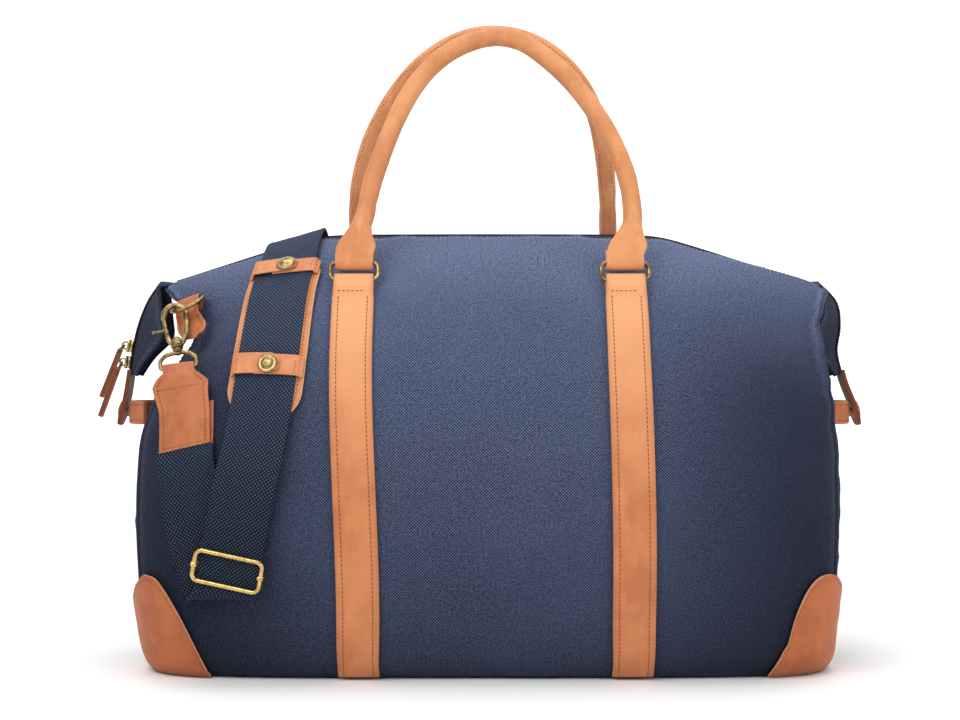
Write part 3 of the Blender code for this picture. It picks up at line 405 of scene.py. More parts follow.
def canvas_look(name, base=(0.051, 0.0665, 0.122), by_object=False, with_painted_shade=False):
    """Washed canvas: a plain weave with slubs, slow fading, and pale marks where the mesh says so: wear, and on
    the panels a painted highlight over the top. Optionally painted shade by place: darker low down and towards the
    ends, lighter up high.
    """
    mat, tree, shader = new_look(name, 0.95, specular=0.12, sheen=0.02)
    place = in_space(tree)
    where = place if by_object else node(tree, "TexCoord").outputs["UV"]
    weave = threads(tree, wandering(tree, where, 90.0, 1.0, 0.0012), 0.00225)
    upright = grain(tree, where, 1.0, (700, 70, 1), 2.0, 0.6)
    level = grain(tree, where, 1.0, (90, 700, 1), 2.0, 0.6)
    speckle = grain(tree, where, 1.0, (560, 560, 1), 2.0, 0.7)
    slow = grain(tree, place, 7.0, (1, 1, 1), 3.0, 0.55)
    patches = grain(tree, place, 42.0, (1.3, 1, 0.8), 3.0, 0.6)
    strength = span(tree, patches, 0.35, 0.65, 0.45, 1.0)
    relief = math_node(tree, "MULTIPLY", weave, strength)
    lifted = math_node(tree, "MULTIPLY_ADD", relief, 0.5, math_node(tree, "MULTIPLY_ADD", speckle, 0.9, 0.05))
    slubs = math_node(tree, "MAXIMUM", ramp(tree, upright, 0.56, 0.78), ramp(tree, level, 0.62, 0.82))
    tone = math_node(tree, "ADD", ramp(tree, lifted, 0.24, 0.86), math_node(tree, "MULTIPLY", slubs, 0.30))
    dark = tuple(c * 0.26 for c in base)
    pale = tuple(min(c * 2.0 + 0.014, 1.0) for c in base)
    woven = mix(tree, tone, dark, pale)
    lightened = mix(tree, math_node(tree, "MULTIPLY", ramp(tree, slow, 0.40, 0.70), 0.16), woven, pale)
    # pale wear, and on the panels a painted highlight over the top
    wear_and_painted_light = node(tree, "Attribute", attribute_name="wear_and_painted_light").outputs["Fac"]
    broken = math_node(tree, "MULTIPLY", wear_and_painted_light, ramp(tree, speckle, 0.35, 0.62))
    colour = mix(tree, broken, lightened, tuple(min(c * 2.6 + 0.05, 1.0) for c in base))
    # painted shade and light by place, multiplied into the canvas colour
    if with_painted_shade:
        scale = painted_shade_by_place(tree, place)
        blue = math_node(tree, "MULTIPLY_ADD", scale, 0.96, 0.04)
        painted_shade_tint = node(tree, "CombineXYZ", {0: scale, 1: scale, 2: blue}).outputs[0]
        colour = mix(tree, 1.0, colour, painted_shade_tint, "MULTIPLY")
    colour_of(tree, shader, colour)
    bumped(tree, shader, math_node(tree, "ADD", relief, math_node(tree, "MULTIPLY", slubs, 0.5)), 0.6, 0.0004)
    return mat


def leather_look(name, base, scale=1.0, mottle=1.0, lift=0.0):
    """Matt pull-up leather: cloudy colour, fine pores and soft creases; lift adds a painted highlight up high."""
    mat, tree, shader = new_look(name, 0.58, specular=0.32, sheen=0.05)
    where = in_space(tree)
    cloud = grain(tree, where, 26.0 * scale, (1, 1, 1), 4.0, 0.6)
    streak = grain(tree, where, 60.0 * scale, (1.8, 1.8, 0.5), 3.0, 0.6)
    pores = node(tree, "TexVoronoi", {"Vector": where, "Scale": 1500.0 * scale}).outputs["Distance"]
    fine = grain(tree, where, 700.0 * scale, (1, 1, 1), 3.0, 0.7)
    dark = (base[0] * (1 - 0.20 * mottle), base[1] * (1 - 0.30 * mottle), base[2] * (1 - 0.38 * mottle))
    pale = (min(base[0] * 1.16, 1), min(base[1] * 1.22, 1), min(base[2] * 1.28, 1))
    tone = mix(tree, ramp(tree, cloud, 0.36, 0.66), dark, base)
    tone = mix(tree, math_node(tree, "MULTIPLY", ramp(tree, streak, 0.48, 0.78), 0.5), tone, pale)
    tone = mix(tree, math_node(tree, "MULTIPLY", ramp(tree, fine, 0.55, 0.80), 0.22), tone, dark)
    # painted highlight: paler and yellower up high, where the light from above catches the leather
    if lift:
        height = node(tree, "SeparateXYZ", {0: where}).outputs[2]
        lightened = math_node(tree, "MULTIPLY", ramp(tree, height, 0.12, 0.31), lift)
        painted_highlight = (min(base[0] * 1.35, 1), min(base[1] * 1.75, 1), min(base[2] * 2.1, 1))
        tone = mix(tree, lightened, tone, painted_highlight)
    wear_and_painted_light = node(tree, "Attribute", attribute_name="wear_and_painted_light").outputs["Fac"]
    colour_of(tree, shader, mix(tree, wear_and_painted_light, tone, tuple(c * 0.62 for c in base)))
    tree.links.new(span(tree, cloud, 0.3, 0.7, 0.50, 0.66), shader.inputs["Roughness"])
    height = math_node(tree, "ADD", math_node(tree, "MULTIPLY", pores, 0.6), fine)
    bumped(tree, shader, height, 0.35, 0.00018)
    return mat


def raw_edge_look(name, base):
    """The cut edge of the leather: paler and fibrous."""
    mat, tree, shader = new_look(name, 0.85, specular=0.2)
    where = in_space(tree)
    fibres = grain(tree, where, 900.0, (1, 1, 1), 3.0, 0.7)
    colour_of(tree, shader, mix(tree, ramp(tree, fibres, 0.3, 0.7), tuple(c * 0.66 for c in base), base))
    bumped(tree, shader, fibres, 0.5, 0.0002)
    return mat


def webbing_look(name):
    """Coarse basket weave: pale dots of yarn in slanting rows on dark navy, with painted shade low down and
    painted light up high.
    """
    mat, tree, shader = new_look(name, 0.85, specular=0.15)
    where = node(tree, "TexCoord").outputs["UV"]
    dots = threads(tree, wandering(tree, where, 260.0, 2.0, 0.0005), 0.0030)
    yarn = ramp(tree, dots, 0.05, 0.85)
    fine = grain(tree, where, 1.0, (1400, 400, 1), 2.0, 0.6)
    # painted shade and light: yarn and ground darker low down and brighter up high, as the light from above falls
    # off
    height = node(tree, "SeparateXYZ", {0: in_space(tree)}).outputs[2]
    pale = mix(tree, fine, (0.040, 0.062, 0.112), (0.170, 0.225, 0.330))
    strength = math_node(tree, "MULTIPLY_ADD", ramp(tree, height, 0.08, 0.30), 0.35, 0.60)
    lit = math_node(tree, "MULTIPLY", yarn, strength)
    ground = mix(tree, ramp(tree, height, 0.10, 0.32), (0.0035, 0.0065, 0.015), (0.020, 0.029, 0.056))
    colour_of(tree, shader, mix(tree, lit, ground, pale))
    bumped(tree, shader, dots, 0.9, 0.0006)
    return mat


def metal_look(name, bright, dull, roughness=0.32, patina=0.5):
    """Brass with a brown patina in soft patches and fine scratches."""
    mat, tree, shader = new_look(name, roughness, metallic=1.0)
    where = in_space(tree)
    cloud = grain(tree, where, 190.0, (1, 1, 1), 4.0, 0.65)
    scratch = grain(tree, where, 900.0, (1, 1, 0.12), 2.0, 0.6)
    stain = math_node(tree, "MULTIPLY", ramp(tree, cloud, 0.42, 0.66), patina)
    colour_of(tree, shader, mix(tree, stain, bright, dull))
    rough = span(tree, cloud, 0.3, 0.7, roughness - 0.08, roughness + 0.20)
    tree.links.new(rough, shader.inputs["Roughness"])
    bumped(tree, shader, scratch, 0.12, 0.0001)
    return mat


def thread_look(name, base):
    mat, tree, shader = new_look(name, 0.7, specular=0.3)
    where = in_space(tree)
    twist = grain(tree, where, 2200.0, (1, 1, 1), 2.0, 0.6)
    colour_of(tree, shader, mix(tree, twist, tuple(c * 0.6 for c in base), base))
    bumped(tree, shader, twist, 0.4, 0.0001)
    return mat


# the bag's panels carry painted shade low down and towards the ends, and painted light up high
CANVAS = canvas_look("washed_canvas", with_painted_shade=True)
# painted shade: a darker copy of the canvas, for the drop ends, their hems and the bottom
CANVAS_DARK = canvas_look("shaded_canvas", (0.016, 0.021, 0.040))
TAPE_LOOK = canvas_look("zip_tape_cloth", (0.014, 0.017, 0.030))
# the straps get a painted highlight up high
LEATHER_STRAP = leather_look("strap_leather", (0.555, 0.198, 0.074), lift=0.85)
LEATHER_HANDLE = leather_look("handle_leather", (0.655, 0.278, 0.112))
LEATHER_CAP = leather_look("cap_leather", (0.425, 0.116, 0.034), mottle=1.1)
LEATHER_TAB = leather_look("tab_leather", (0.460, 0.150, 0.054), scale=1.6)
LEATHER_PAD = leather_look("pad_leather", (0.640, 0.260, 0.108), scale=1.2)
RAW_EDGE = raw_edge_look("raw_leather_edge", (0.74, 0.38, 0.21))
DARK_EDGE = raw_edge_look("dark_leather_edge", (0.25, 0.070, 0.030))
WEBBING_LOOK = webbing_look("woven_webbing")
BRASS = metal_look("antique_brass", (0.40, 0.285, 0.115), (0.075, 0.052, 0.022), 0.28, 0.85)
BRIGHT_BRASS = metal_look("bright_brass", (0.66, 0.46, 0.16), (0.34, 0.22, 0.07), 0.24, 0.55)
CAP_BRASS = metal_look("snap_brass", (0.42, 0.30, 0.125), (0.115, 0.078, 0.034), 0.28, 0.85)
ZIP_METAL = metal_look("zip_metal", (0.060, 0.050, 0.040), (0.018, 0.016, 0.014), 0.42, 0.7)
TAN_THREAD = thread_look("tan_thread", (0.28, 0.095, 0.032))
NAVY_THREAD = thread_look("navy_thread", (0.030, 0.036, 0.065))
# rows of stitches: their pitch and the thread's radius
CANVAS_ROW = (0.0034, 0.0003)
STRAP_ROW = (0.0034, 0.00038)
HANDLE_ROW = (0.0034, 0.00034)
TAB_ROW = (0.0030, 0.0003)
STRAP_END_ROW = (0.0030, 0.00032)
PAD_ROW = (0.0033, 0.00036)
BAND_ROW = (0.0027, 0.0003)
PULL_ROW = (0.0026, 0.00022)


# ---------------------------------------------------------------- mesh tools
def mesh_of(name, verts, faces):
    mesh = bpy.data.meshes.new(name)
    mesh.from_pydata(verts, [], faces)
    return mesh


def edited(mesh, change):
    """The mesh with a change made to it by a function of its bmesh."""
    bm = bmesh.new()
    bm.from_mesh(mesh)
    change(bm)
    bm.to_mesh(mesh)
    bm.free()
    return mesh


def linked(name, data):
    obj = bpy.data.objects.new(name, data)
    bpy.context.scene.collection.objects.link(obj)
    return obj


def grid(name, rows, closed=False, wear_and_painted_light=None):
    """Quads through rows of points. Its UV is in metres, measured from the middle column."""
    across = len(rows[0])
    verts = [point for row in rows for point in row]
    wrap = across if closed else across - 1
    faces, corners = [], []
    middle = across // 2
    ups = [0.0]
    for low, high in zip(rows, rows[1:]):
        ups.append(ups[-1] + (high[middle] - low[middle]).length)
    sides = []
    for row in rows:
        run = [0.0]
        for i in range(wrap):
            run.append(run[-1] + (row[(i + 1) % across] - row[i]).length)
        sides.append([value - run[middle] for value in run])
    for r in range(len(rows) - 1):
        for i in range(wrap):
            j = (i + 1) % across
            faces.append((r * across + i, r * across + j, (r + 1) * across + j, (r + 1) * across + i))
            for row, column in ((r, i), (r, i + 1), (r + 1, i + 1), (r + 1, i)):
                corners += [sides[row][column], ups[row]]
    mesh = mesh_of(name, verts, faces)
    mesh.uv_layers.new(name="metres").data.foreach_set("uv", corners)
    if wear_and_painted_light is not None:
        values = [value for row in wear_and_painted_light for value in row]
        mesh.attributes.new("wear_and_painted_light", "FLOAT", "POINT").data.foreach_set("value", values)
    mesh.shade_smooth()
    return mesh


def settled(obj):
    """Apply the modifiers, so that the mesh is final."""
    mesh = bpy.data.meshes.new_from_object(obj.evaluated_get(bpy.context.evaluated_depsgraph_get()))
    obj.modifiers.clear()
    obj.data = mesh
    mesh.name = obj.name
    return obj


def shown(name, mesh, body, slot, looks, replaced=(), thickness=0.0, offset=0.0, bevel=0.0):
    """Make a piece: link it, thicken it, finish its mesh and attach it to its body."""
    obj = linked(name, mesh)
    for mat in looks:
        mesh.materials.append(mat)
    if thickness:
        skin = obj.modifiers.new("thickness", "SOLIDIFY")
        skin.thickness = thickness
        skin.offset = offset
        skin.use_even_offset = False
        if len(looks) > 1:
            skin.material_offset_rim = 1
    if bevel:
        edges = obj.modifiers.new("edges", "BEVEL")
        edges.width = bevel
        edges.segments = 2
        edges.angle_limit = math.radians(50)
        edges.harden_normals = False
    bpy.context.view_layer.update()
    settled(obj)
    obj.data.shade_smooth()
    if body:
        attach(obj, body)
    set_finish(obj, slot)
    if replaced:
        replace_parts(obj, *replaced)
    return obj


def half_turned(obj, name, body, *replaced):
    """The same piece on the other face of the bag."""
    mesh = obj.data.copy()
    mesh.transform(Matrix.Rotation(math.pi, 4, "Z"))
    copy = linked(name, mesh)
    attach(copy, body)
    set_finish(copy, obj["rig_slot"])
    if replaced:
        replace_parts(copy, *replaced)
    return copy


def stations(points, across, half, out):
    """Frames along a strip: middle, across, outward and half width. Out is a hint for the first."""
    made = []
    for i, point in enumerate(points):
        run = points[min(i + 1, len(points) - 1)] - points[max(i - 1, 0)]
        side = across[i] if isinstance(across, list) else across
        side = side.normalized()
        outward = run.cross(side).normalized()
        if outward.dot(out) < 0:
            outward = -outward
        out = outward
        made.append((point, side, outward, half[i] if isinstance(half, list) else half))
    return made


def stitched_section(half, inset):
    """Across a leather strip: rounded edges and a groove under each row of stitches."""
    seam = 1 - inset / half
    near = 0.0011 / half
    side = [(-1.0, 0.0004), (-1 + near * 0.5, 0.0), (-seam - near, -0.00005)]
    side += [(-seam, 0.00028), (-seam + near, 0.0)]
    return side + [(-0.35, 0.0), (0.0, 0.0), (0.35, 0.0)] + [(-k, dip) for k, dip in reversed(side)]


def ribbon(name, places, thickness, section, body, looks, replaced=(), bevel=0.0004, wear_and_painted_light=None):
    """A leather strip; the section is pairs of share of the half width and dip."""
    rows = [[m + a * (h * k) - o * dip for k, dip in section] for m, a, o, h in places]
    return shown(name, grid(name, rows, wear_and_painted_light=wear_and_painted_light), body, "leather", looks, replaced, thickness, 0.0, bevel)


def seam_path(places, offset, lift, first=0, last=None, follow=False):
    """Points and outward directions along a strip, offset across it in metres from its middle.

    With follow, the offset is kept from the nearer edge instead."""
    path = []
    for m, a, o, h in places[first:last]:
        shift = math.copysign(h - abs(offset), offset) if follow else offset
        path.append((m + a * shift + o * lift, o))
    return path


def cross_seam(place, short, thickness):
    """A seam straight across a strip, stopping short of its edges."""
    m, a, o, h = place
    return [(m + a * ((h - short) * k) + o * thickness / 2, o) for k in (-1, 1)]


def resampled(path, pitch):
    """Points and directions every pitch along a path."""
    made, carried = [], 0.0
    for (p, n), (q, m) in zip(path, path[1:]):
        length = (q - p).length
        while carried <= length and length > 0:
            share = carried / length
            made.append((p.lerp(q, share), n.lerp(m, share).normalized()))
            carried += pitch
        carried -= length
    return made


def stitches(name, paths, body, slot, look, pitch, radius, share=0.66, sides=5):
    """Rows of small arched threads, as one piece; share is a thread's part of the pitch."""
    verts, faces = [], []
    for path in paths:
        marks = resampled(path, pitch)
        for (p, n), (q, _) in zip(marks, marks[1:]):
            run = (q - p).normalized()
            side = n.cross(run).normalized()
            length = pitch * share
            start = len(verts)
            verts.append(p - n * radius * 0.9)
            for along, lift, thick in ((0.12, -0.1, 0.8), (0.5, 0.45, 1.0), (0.88, -0.1, 0.8)):
                centre = p + run * (length * along) + n * (radius * lift)
                for turn in turns(sides):
                    verts.append(centre + (side * math.cos(turn) + n * math.sin(turn)) * (radius * thick))
            verts.append(p + run * length - n * radius * 0.9)
            for k in range(sides):
                j = (k + 1) % sides
                faces.append((start, start + 1 + j, start + 1 + k))
                for ring in (0, 1):
                    low, high = start + 1 + ring * sides, start + 1 + (ring + 1) * sides
                    faces.append((low + k, low + j, high + j, high + k))
                top = start + 1 + 2 * sides
                faces.append((top + k, top + j, start + 1 + 3 * sides))
    return shown(name, mesh_of(name, verts, faces), body, slot, [look])


def tan_stitches(name, paths, body, size):
    return stitches(name, paths, body, "leather", TAN_THREAD, *size)


def brass(name, mesh, body, replaced=(), look=BRASS):
    return shown(name, mesh, body, "antique_brass", [look], replaced)


def loft(name, rings, closed_ends=True, wear_and_painted_light=None):
    """A tube through rings of points, with flat ends."""
    mesh = grid(name, rings, closed=True, wear_and_painted_light=wear_and_painted_light)

    def close(bm):
        verts = list(bm.verts)
        bm.faces.new(verts[:len(rings[0])][::-1])
        bm.faces.new(verts[-len(rings[0]):])
        bmesh.ops.recalc_face_normals(bm, faces=bm.faces)

    if closed_ends:
        edited(mesh, close)
        mesh.shade_smooth()
        mesh.set_sharp_from_angle(angle=math.radians(60))
    return mesh


def rounded(points, count, cyclic=False):
    """Many points on a smooth curve through a few."""
    if not cyclic:
        return [Vector(smooth(points, share)) for share in spaced(0.0, 1.0, count)]
    looped = [points[-1], *points, points[0], points[1]]
    span = len(looped) - 1
    return [Vector(smooth(looped, (1 + len(points) * i / count) / span)) for i in range(count)]


def rod(points, radius, cyclic=False, sides=10):
    """Mesh of a round wire; radius may be a list, one for each point."""
    rings = []
    count = len(points)
    normal = None
    for i, point in enumerate(points):
        if cyclic:
            run = (points[(i + 1) % count] - points[i - 1]).normalized()
        else:
            run = (points[min(i + 1, count - 1)] - points[max(i - 1, 0)]).normalized()
        if normal is None:
            normal = run.orthogonal().normalized()
        normal = (normal - run * normal.dot(run)).normalized()
        other = run.cross(normal)
        thick = radius[i] if isinstance(radius, list) else radius
        rings.append([point + (normal * math.cos(t) + other * math.sin(t)) * thick for t in turns(sides)])
    if not cyclic:
        return loft("rod", rings)
    mesh = loft("rod", rings + rings[:1], closed_ends=False)
    return edited(mesh, lambda bm: bmesh.ops.remove_doubles(bm, verts=bm.verts, dist=0.000001))


def turned_mesh(profile, place, steps=28):
    """A round piece from radius and height pairs, placed by a matrix."""
    return loft("turned", [
        [place @ Vector((radius * math.cos(t), radius * math.sin(t), height)) for t in turns(steps)]
        for radius, height in profile
    ])


def together(name, meshes):
    """Several meshes as one."""
    bm = bmesh.new()
    for mesh in meshes:
        bm.from_mesh(mesh)
    joined = bpy.data.meshes.new(name)
    bm.to_mesh(joined)
    bm.free()
    joined.shade_smooth()
    joined.set_sharp_from_angle(angle=math.radians(55))
    return joined


def frame_matrix(origin, x_axis, z_axis):
    z = z_axis.normalized()
    x = (x_axis - z * x_axis.dot(z)).normalized()
    return Matrix.Translation(origin) @ Matrix((x, z.cross(x), z)).transposed().to_4x4()


# ---------------------------------------------------------------- canvas shell
def bell(value, middle, width):
    return math.exp(-(((value - middle) / width) ** 2))


def swell(p):
    """How far the slack canvas stands off its nominal surface."""
    x, z = p.x, p.z
    broad = noise.noise(Vector((x * 9, p.y * 7, z * 8))) * 0.0018
    crease = 1 - abs(noise.noise(Vector((x * 20 + z * 13, p.y * 9 + 5, z * 22 - x * 6))))
    fine = 1 - abs(noise.noise(Vector((x * 55, p.y * 20, z * 30 + x * 20))))
    lift = broad + (crease**7) * 0.0011 + (fine**9) * 0.0004
    # the lower half fills out in the middle, and the canvas lies flat under the leather straps
    lift += 0.0016 * bell(z, 0.12, 0.07) * bell(x, 0.0, 0.07)
    strap = ease((abs(abs(x) - STRAP_X) - 0.017) / 0.018)
    lift = lift * strap - 0.0004 * (1 - strap)
    # hollows under the drop ends, with a fold beside them
    hollow = bell(abs(x), 0.243, 0.021) * bell(z, 0.243, 0.030)
    fold = bell(abs(x) - 0.35 * (z - 0.215), 0.262, 0.006) * bell(z, 0.215, 0.022)
    lift += 0.0016 * fold - 0.0058 * hollow
    # the shoulder strap and its pad keep the canvas flat
    if x < -0.125 and p.y < 0:
        lift = min(lift, 0.0007)
    if p.y > 0:
        lift = min(lift, 0.0018)
    return lift


def from_seam(angle):
    """Rough distance round the bag to the nearest seam."""
    far = min(abs((angle - seam + 180) % 360 - 180) for seam in SEAMS)
    return math.radians(far) * 0.11


# how far the canvas moves sideways at a height: the upright edges of the front and rear outwards at the
# right and left, and the whole end inwards at the right and left
END_SHIFTS = [
    (0.006, 0.0000, 0.0000, 0.0010, 0.0000),
    (0.040, 0.0000, 0.0000, 0.0052, 0.0014),
    (0.090, 0.0000, 0.0000, 0.0058, 0.0020),
    (0.150, 0.0000, 0.0000, 0.0060, 0.0025),
    (0.185, 0.0000, 0.0000, 0.0020, 0.0005),
    (0.213, 0.0040, 0.0000, 0.0000, 0.0030),
    (0.228, 0.0090, 0.0000, 0.0000, 0.0065),
    (0.241, 0.0115, 0.0000, 0.0000, 0.0100),
    (0.255, 0.0135, 0.0000, 0.0000, 0.0160),
    (0.269, 0.0115, 0.0000, 0.0000, 0.0205),
    (0.280, 0.0145, 0.0020, 0.0000, 0.0150),
    (0.291, 0.0165, 0.0060, 0.0000, 0.0050),
    (0.300, 0.0180, 0.0070, 0.0000, 0.0000),
    (0.340, 0.0180, 0.0070, 0.0000, 0.0000),
]


def spread(p, depth):
    """Sideways shift of the canvas near the ends: the gusset folds in and the edges bag out over it."""
    for (z0, *low), (z1, *high) in zip(END_SHIFTS, END_SHIFTS[1:]):
        if p.z <= z1:
            break
    share = ease((p.z - z0) / (z1 - z0))
    right, left, tuck_right, tuck_left = [a + (b - a) * share for a, b in zip(low, high)]
    near_end = ease((abs(p.x) - 0.185) / 0.060)
    near_edge = ease((abs(p.y) / max(depth, 0.001) - 0.44) / 0.22) * ease((abs(p.y) - 0.007) / 0.012)
    out = (right if p.x > 0 else left) * near_end * near_edge
    out -= (tuck_right if p.x > 0 else tuck_left) * ease((abs(p.x) - 0.170) / 0.080)
    return X_AXIS * (out if p.x > 0 else -out)


SEAMS = [side + sign * SEAM_ANGLE for side in (0, 180) for sign in (-1, 1)]
V_EDGE = at_depth(PANEL_EDGE)


def canvas_panel(name, first, last, columns, levels, node_name):
    """One canvas panel, and the paths of its topstitching."""
    rows, wear_and_painted_light = [], []
    edge_paths = {"first": [], "last": [], "top": [], "bottom": []}
    for r, v in enumerate(spaced(0.0, V_EDGE, levels)):
        row, lightened = [], []
        for c, angle in enumerate(spaced(first, last, columns)):
            p, n = around(angle, v)
            gap = from_seam(angle)
            keep = ease(gap / 0.010)
            turn_in = ease(1 - gap / 0.0022)
            near_top = ease(1 - (V_EDGE - v) * 0.36 / 0.006)
            lift = swell(p) * keep + bell(gap, 0.0042, 0.0024) * 0.0005 - 0.0011 * turn_in + 0.0004 * near_top
            row.append(p + n * lift + spread(p, smooth(BODY_ROWS, v)[0]))
            # pale wear beside the seams and along the top edge, and a painted highlight over the top where the
            # canvas rounds over under the light
            wear_and_highlight = 0.60 * bell(gap, 0.0045, 0.0022) + 0.25 * ease((p.z - 0.27) / 0.06)
            wear_and_highlight += 0.45 * bell(V_EDGE - v, 0.012, 0.008)
            lightened.append(min(wear_and_highlight, 1.0))
        rows.append(row)
        wear_and_painted_light.append(lightened)
    mesh = grid(name, rows, wear_and_painted_light=wear_and_painted_light)
    shown(name, mesh, "shell", "canvas", [CANVAS], [node_name], 0.0012, -1.0)
    inset = max(1, round(0.0048 / ((rows[levels // 2][1] - rows[levels // 2][0]).length + 1e-6)))
    for r, row in enumerate(rows):
        v = V_EDGE * r / (levels - 1)
        if 2 <= r < levels - 2:
            for key, c in (("first", inset), ("last", columns - 1 - inset)):
                angle = first + (last - first) * c / (columns - 1)
                edge_paths[key].append((row[c], around(angle, v)[1]))
    for c in range(3, columns - 3):
        angle = first + (last - first) * c / (columns - 1)
        n = around(angle, V_EDGE * (levels - 2) / (levels - 1))[1]
        edge_paths["top"].append((rows[levels - 2][c], n))
    return edge_paths


PANELS = [
    ("front", "front_panel", 180 + SEAM_ANGLE, 360 - SEAM_ANGLE, 190),
    ("rear", "back_panel", SEAM_ANGLE, 180 - SEAM_ANGLE, 190),
    ("end_right", "side_panel_right", -SEAM_ANGLE, SEAM_ANGLE, 64),
    ("end_left", "side_panel_left", 180 - SEAM_ANGLE, 180 + SEAM_ANGLE, 64),
]
PANEL_LEVELS = 110
navy_paths = []
for panel, cad_node, first, last, columns in PANELS:
    paths = canvas_panel("canvas_" + panel, first, last, columns, PANEL_LEVELS, cad_node)
    navy_paths += [paths["first"], paths["last"]]
    if panel in ("front", "rear"):
        navy_paths.append(paths["top"])
stitches("panel_topstitching", navy_paths, "shell", "canvas", NAVY_THREAD, *CANVAS_ROW)


def plan_ring(reach, depth, z, count=120):
    points = [superellipse(turn, CORNER) for turn in turns(count, 0.5)]
    return [Vector((reach * c, depth * s, z)) for c, s in points]


# half length, half depth and height
BASE_ROWS = [
    (0.0200, 0.0080, 0.0000),
    (0.1200, 0.0460, 0.0000),
    (0.2000, 0.0760, 0.0000),
    (0.2500, 0.0900, 0.0000),
    (0.2565, 0.0935, 0.0003),
    (0.2590, 0.0950, 0.0012),
    (0.2590, 0.0950, 0.0022),
    (0.2560, 0.0920, 0.0026),
    (0.1000, 0.0400, 0.0026),
]


def base():
    """The bottom: canvas with a soft rounded rim and a sewn welt round it."""
    rings = [plan_ring(*row) for row in BASE_ROWS]
    shown("base_canvas", loft("base_canvas", rings), "shell", "canvas", [CANVAS_DARK], ["bottom_panel"])
    welt = rod(plan_ring(0.2608, 0.0968, 0.0034, 160), 0.0015, cyclic=True, sides=8)
    shown("base_welt", welt, "shell", "canvas", [CANVAS_DARK])


base()


LINING_DEPTH, LINING_FLOOR = 0.0042, 0.0052


def lining():
    """The lining: a thin cloth bag just inside the canvas, following its folds."""
    rows = []
    for v in [0.004] + spaced(0.03, V_EDGE, 60):
        row = []
        for angle in spaced(0.0, 360.0, 241)[:-1]:
            p, n = around(angle, v)
            row.append(p + n * (min(swell(p), 0.0) - LINING_DEPTH) + spread(p, smooth(BODY_ROWS, v)[0]))
        rows.append(row)
    middle = [Vector((p.x * 0.04, p.y * 0.04, LINING_FLOOR)) for p in rows[0]]
    rows = [middle] + [[Vector((p.x, p.y, max(p.z, LINING_FLOOR))) for p in row] for row in rows]
    look = canvas_look("lining_cloth", (0.02, 0.022, 0.035), by_object=True)
    shown("lining_bag", grid("lining_bag", rows, closed=True), "shell", "lining", [look], ["lining"], 0.0006, 0.0)


lining()
board = frame["nodes"]["base_board"].data
board.materials.clear()
board.materials.append(raw_edge_look("fibre_board", (0.30, 0.22, 0.14)))


# ---------------------------------------------------------------- zip along the top
def zip_tape(side, place):
    inner, outer = at_depth(0.0036), at_depth(0.0140)
    rows = []
    for x in spaced(-0.248, 0.248, 160):
        row = []
        for share in spaced(0.0, 1.0, 6):
            v = outer + (inner - outer) * share
            wave = 0.0005 * noise.noise(Vector((x * 40, share, side)))
            row.append(on_bag(x, side * (1 - v), -0.0005 + wave * (1 - share))[0])
        rows.append(row)
    name = "zip_cloth_" + place
    shown(name, grid(name, rows), "shell", "canvas", [TAPE_LOOK], ["zip_tape_" + place], 0.0009, 0.0)


zip_tape(-1, "front")
zip_tape(1, "rear")


def tooth(centre, along, across, up, side):
    """One zip tooth: a flat foot on the tape and a rounded head that meets its neighbours."""
    points, faces = [], []
    outline = [(-0.0032, 0.00062, 0.0008), (-0.0012, 0.00062, 0.0011), (0.0003, 0.00085, 0.0012),
               (0.0010, 0.00045, 0.0009)]
    for reach, half, deep in outline:
        for a, b in ((-1, -1), (1, -1), (1, 1), (-1, 1)):
            points.append(centre + across * (-side * reach) + along * (half * a) + up * (deep * b))
    faces.append((3, 2, 1, 0))
    last = len(outline) * 4 - 4
    faces.append((last, last + 1, last + 2, last + 3))
    for ring in range(len(outline) - 1):
        for k in range(4):
            j = (k + 1) % 4
            low, high = ring * 4, ring * 4 + 4
            faces.append((low + k, low + j, high + j, high + k))
    return points, faces


def teeth(name, line, body, replaced=()):
    """Teeth down both sides of a line of points with upward directions."""
    verts, faces = [], []
    marks = resampled(line, 0.00145)
    for i in range(1, len(marks) - 1):
        centre, up = marks[i]
        along = (marks[i + 1][0] - marks[i - 1][0]).normalized()
        across = along.cross(up).normalized()
        points, parts = tooth(centre, along, across, up, 1 if i % 2 else -1)
        start = len(verts)
        verts += points
        faces += [tuple(start + k for k in part) for part in parts]
    mesh = edited(mesh_of(name, verts, faces), lambda bm: bmesh.ops.recalc_face_normals(bm, faces=bm.faces))
    shown(name, mesh, body, "zip_teeth", [ZIP_METAL], replaced)


def core(name, line, half, body):
    """The woven cord that the teeth are clamped to, under them."""
    rows = []
    for i, (point, up) in enumerate(line):
        run = line[min(i + 1, len(line) - 1)][0] - line[max(i - 1, 0)][0]
        across = run.cross(up).normalized()
        rows.append([point + across * (half * k) - up * 0.0004 for k in (-1, -0.5, 0, 0.5, 1)])
    shown(name, grid(name, rows), body, "canvas", [TAPE_LOOK], (), 0.0010, 0.0)


ZIP_LINE = [on_bag(x, 0.0, -0.0002) for x in spaced(-0.2535, 0.2535, 120)]
teeth("zip_teeth_top", ZIP_LINE, "shell", ["zip_chain"])
core("zip_core_top", ZIP_LINE, 0.0036, "shell")


# ---------------------------------------------------------------- drop ends of the zip
def mirrored(points, sign):
    return [Vector((p.x * sign, p.y, p.z)) for p in points]


# the right drop end hangs closer to the bag: shift outwards from the hinge down
RIGHT_END_SHIFT = [(0.0,), (0.0045,), (0.0,), (-0.0070,), (-0.0055,)]


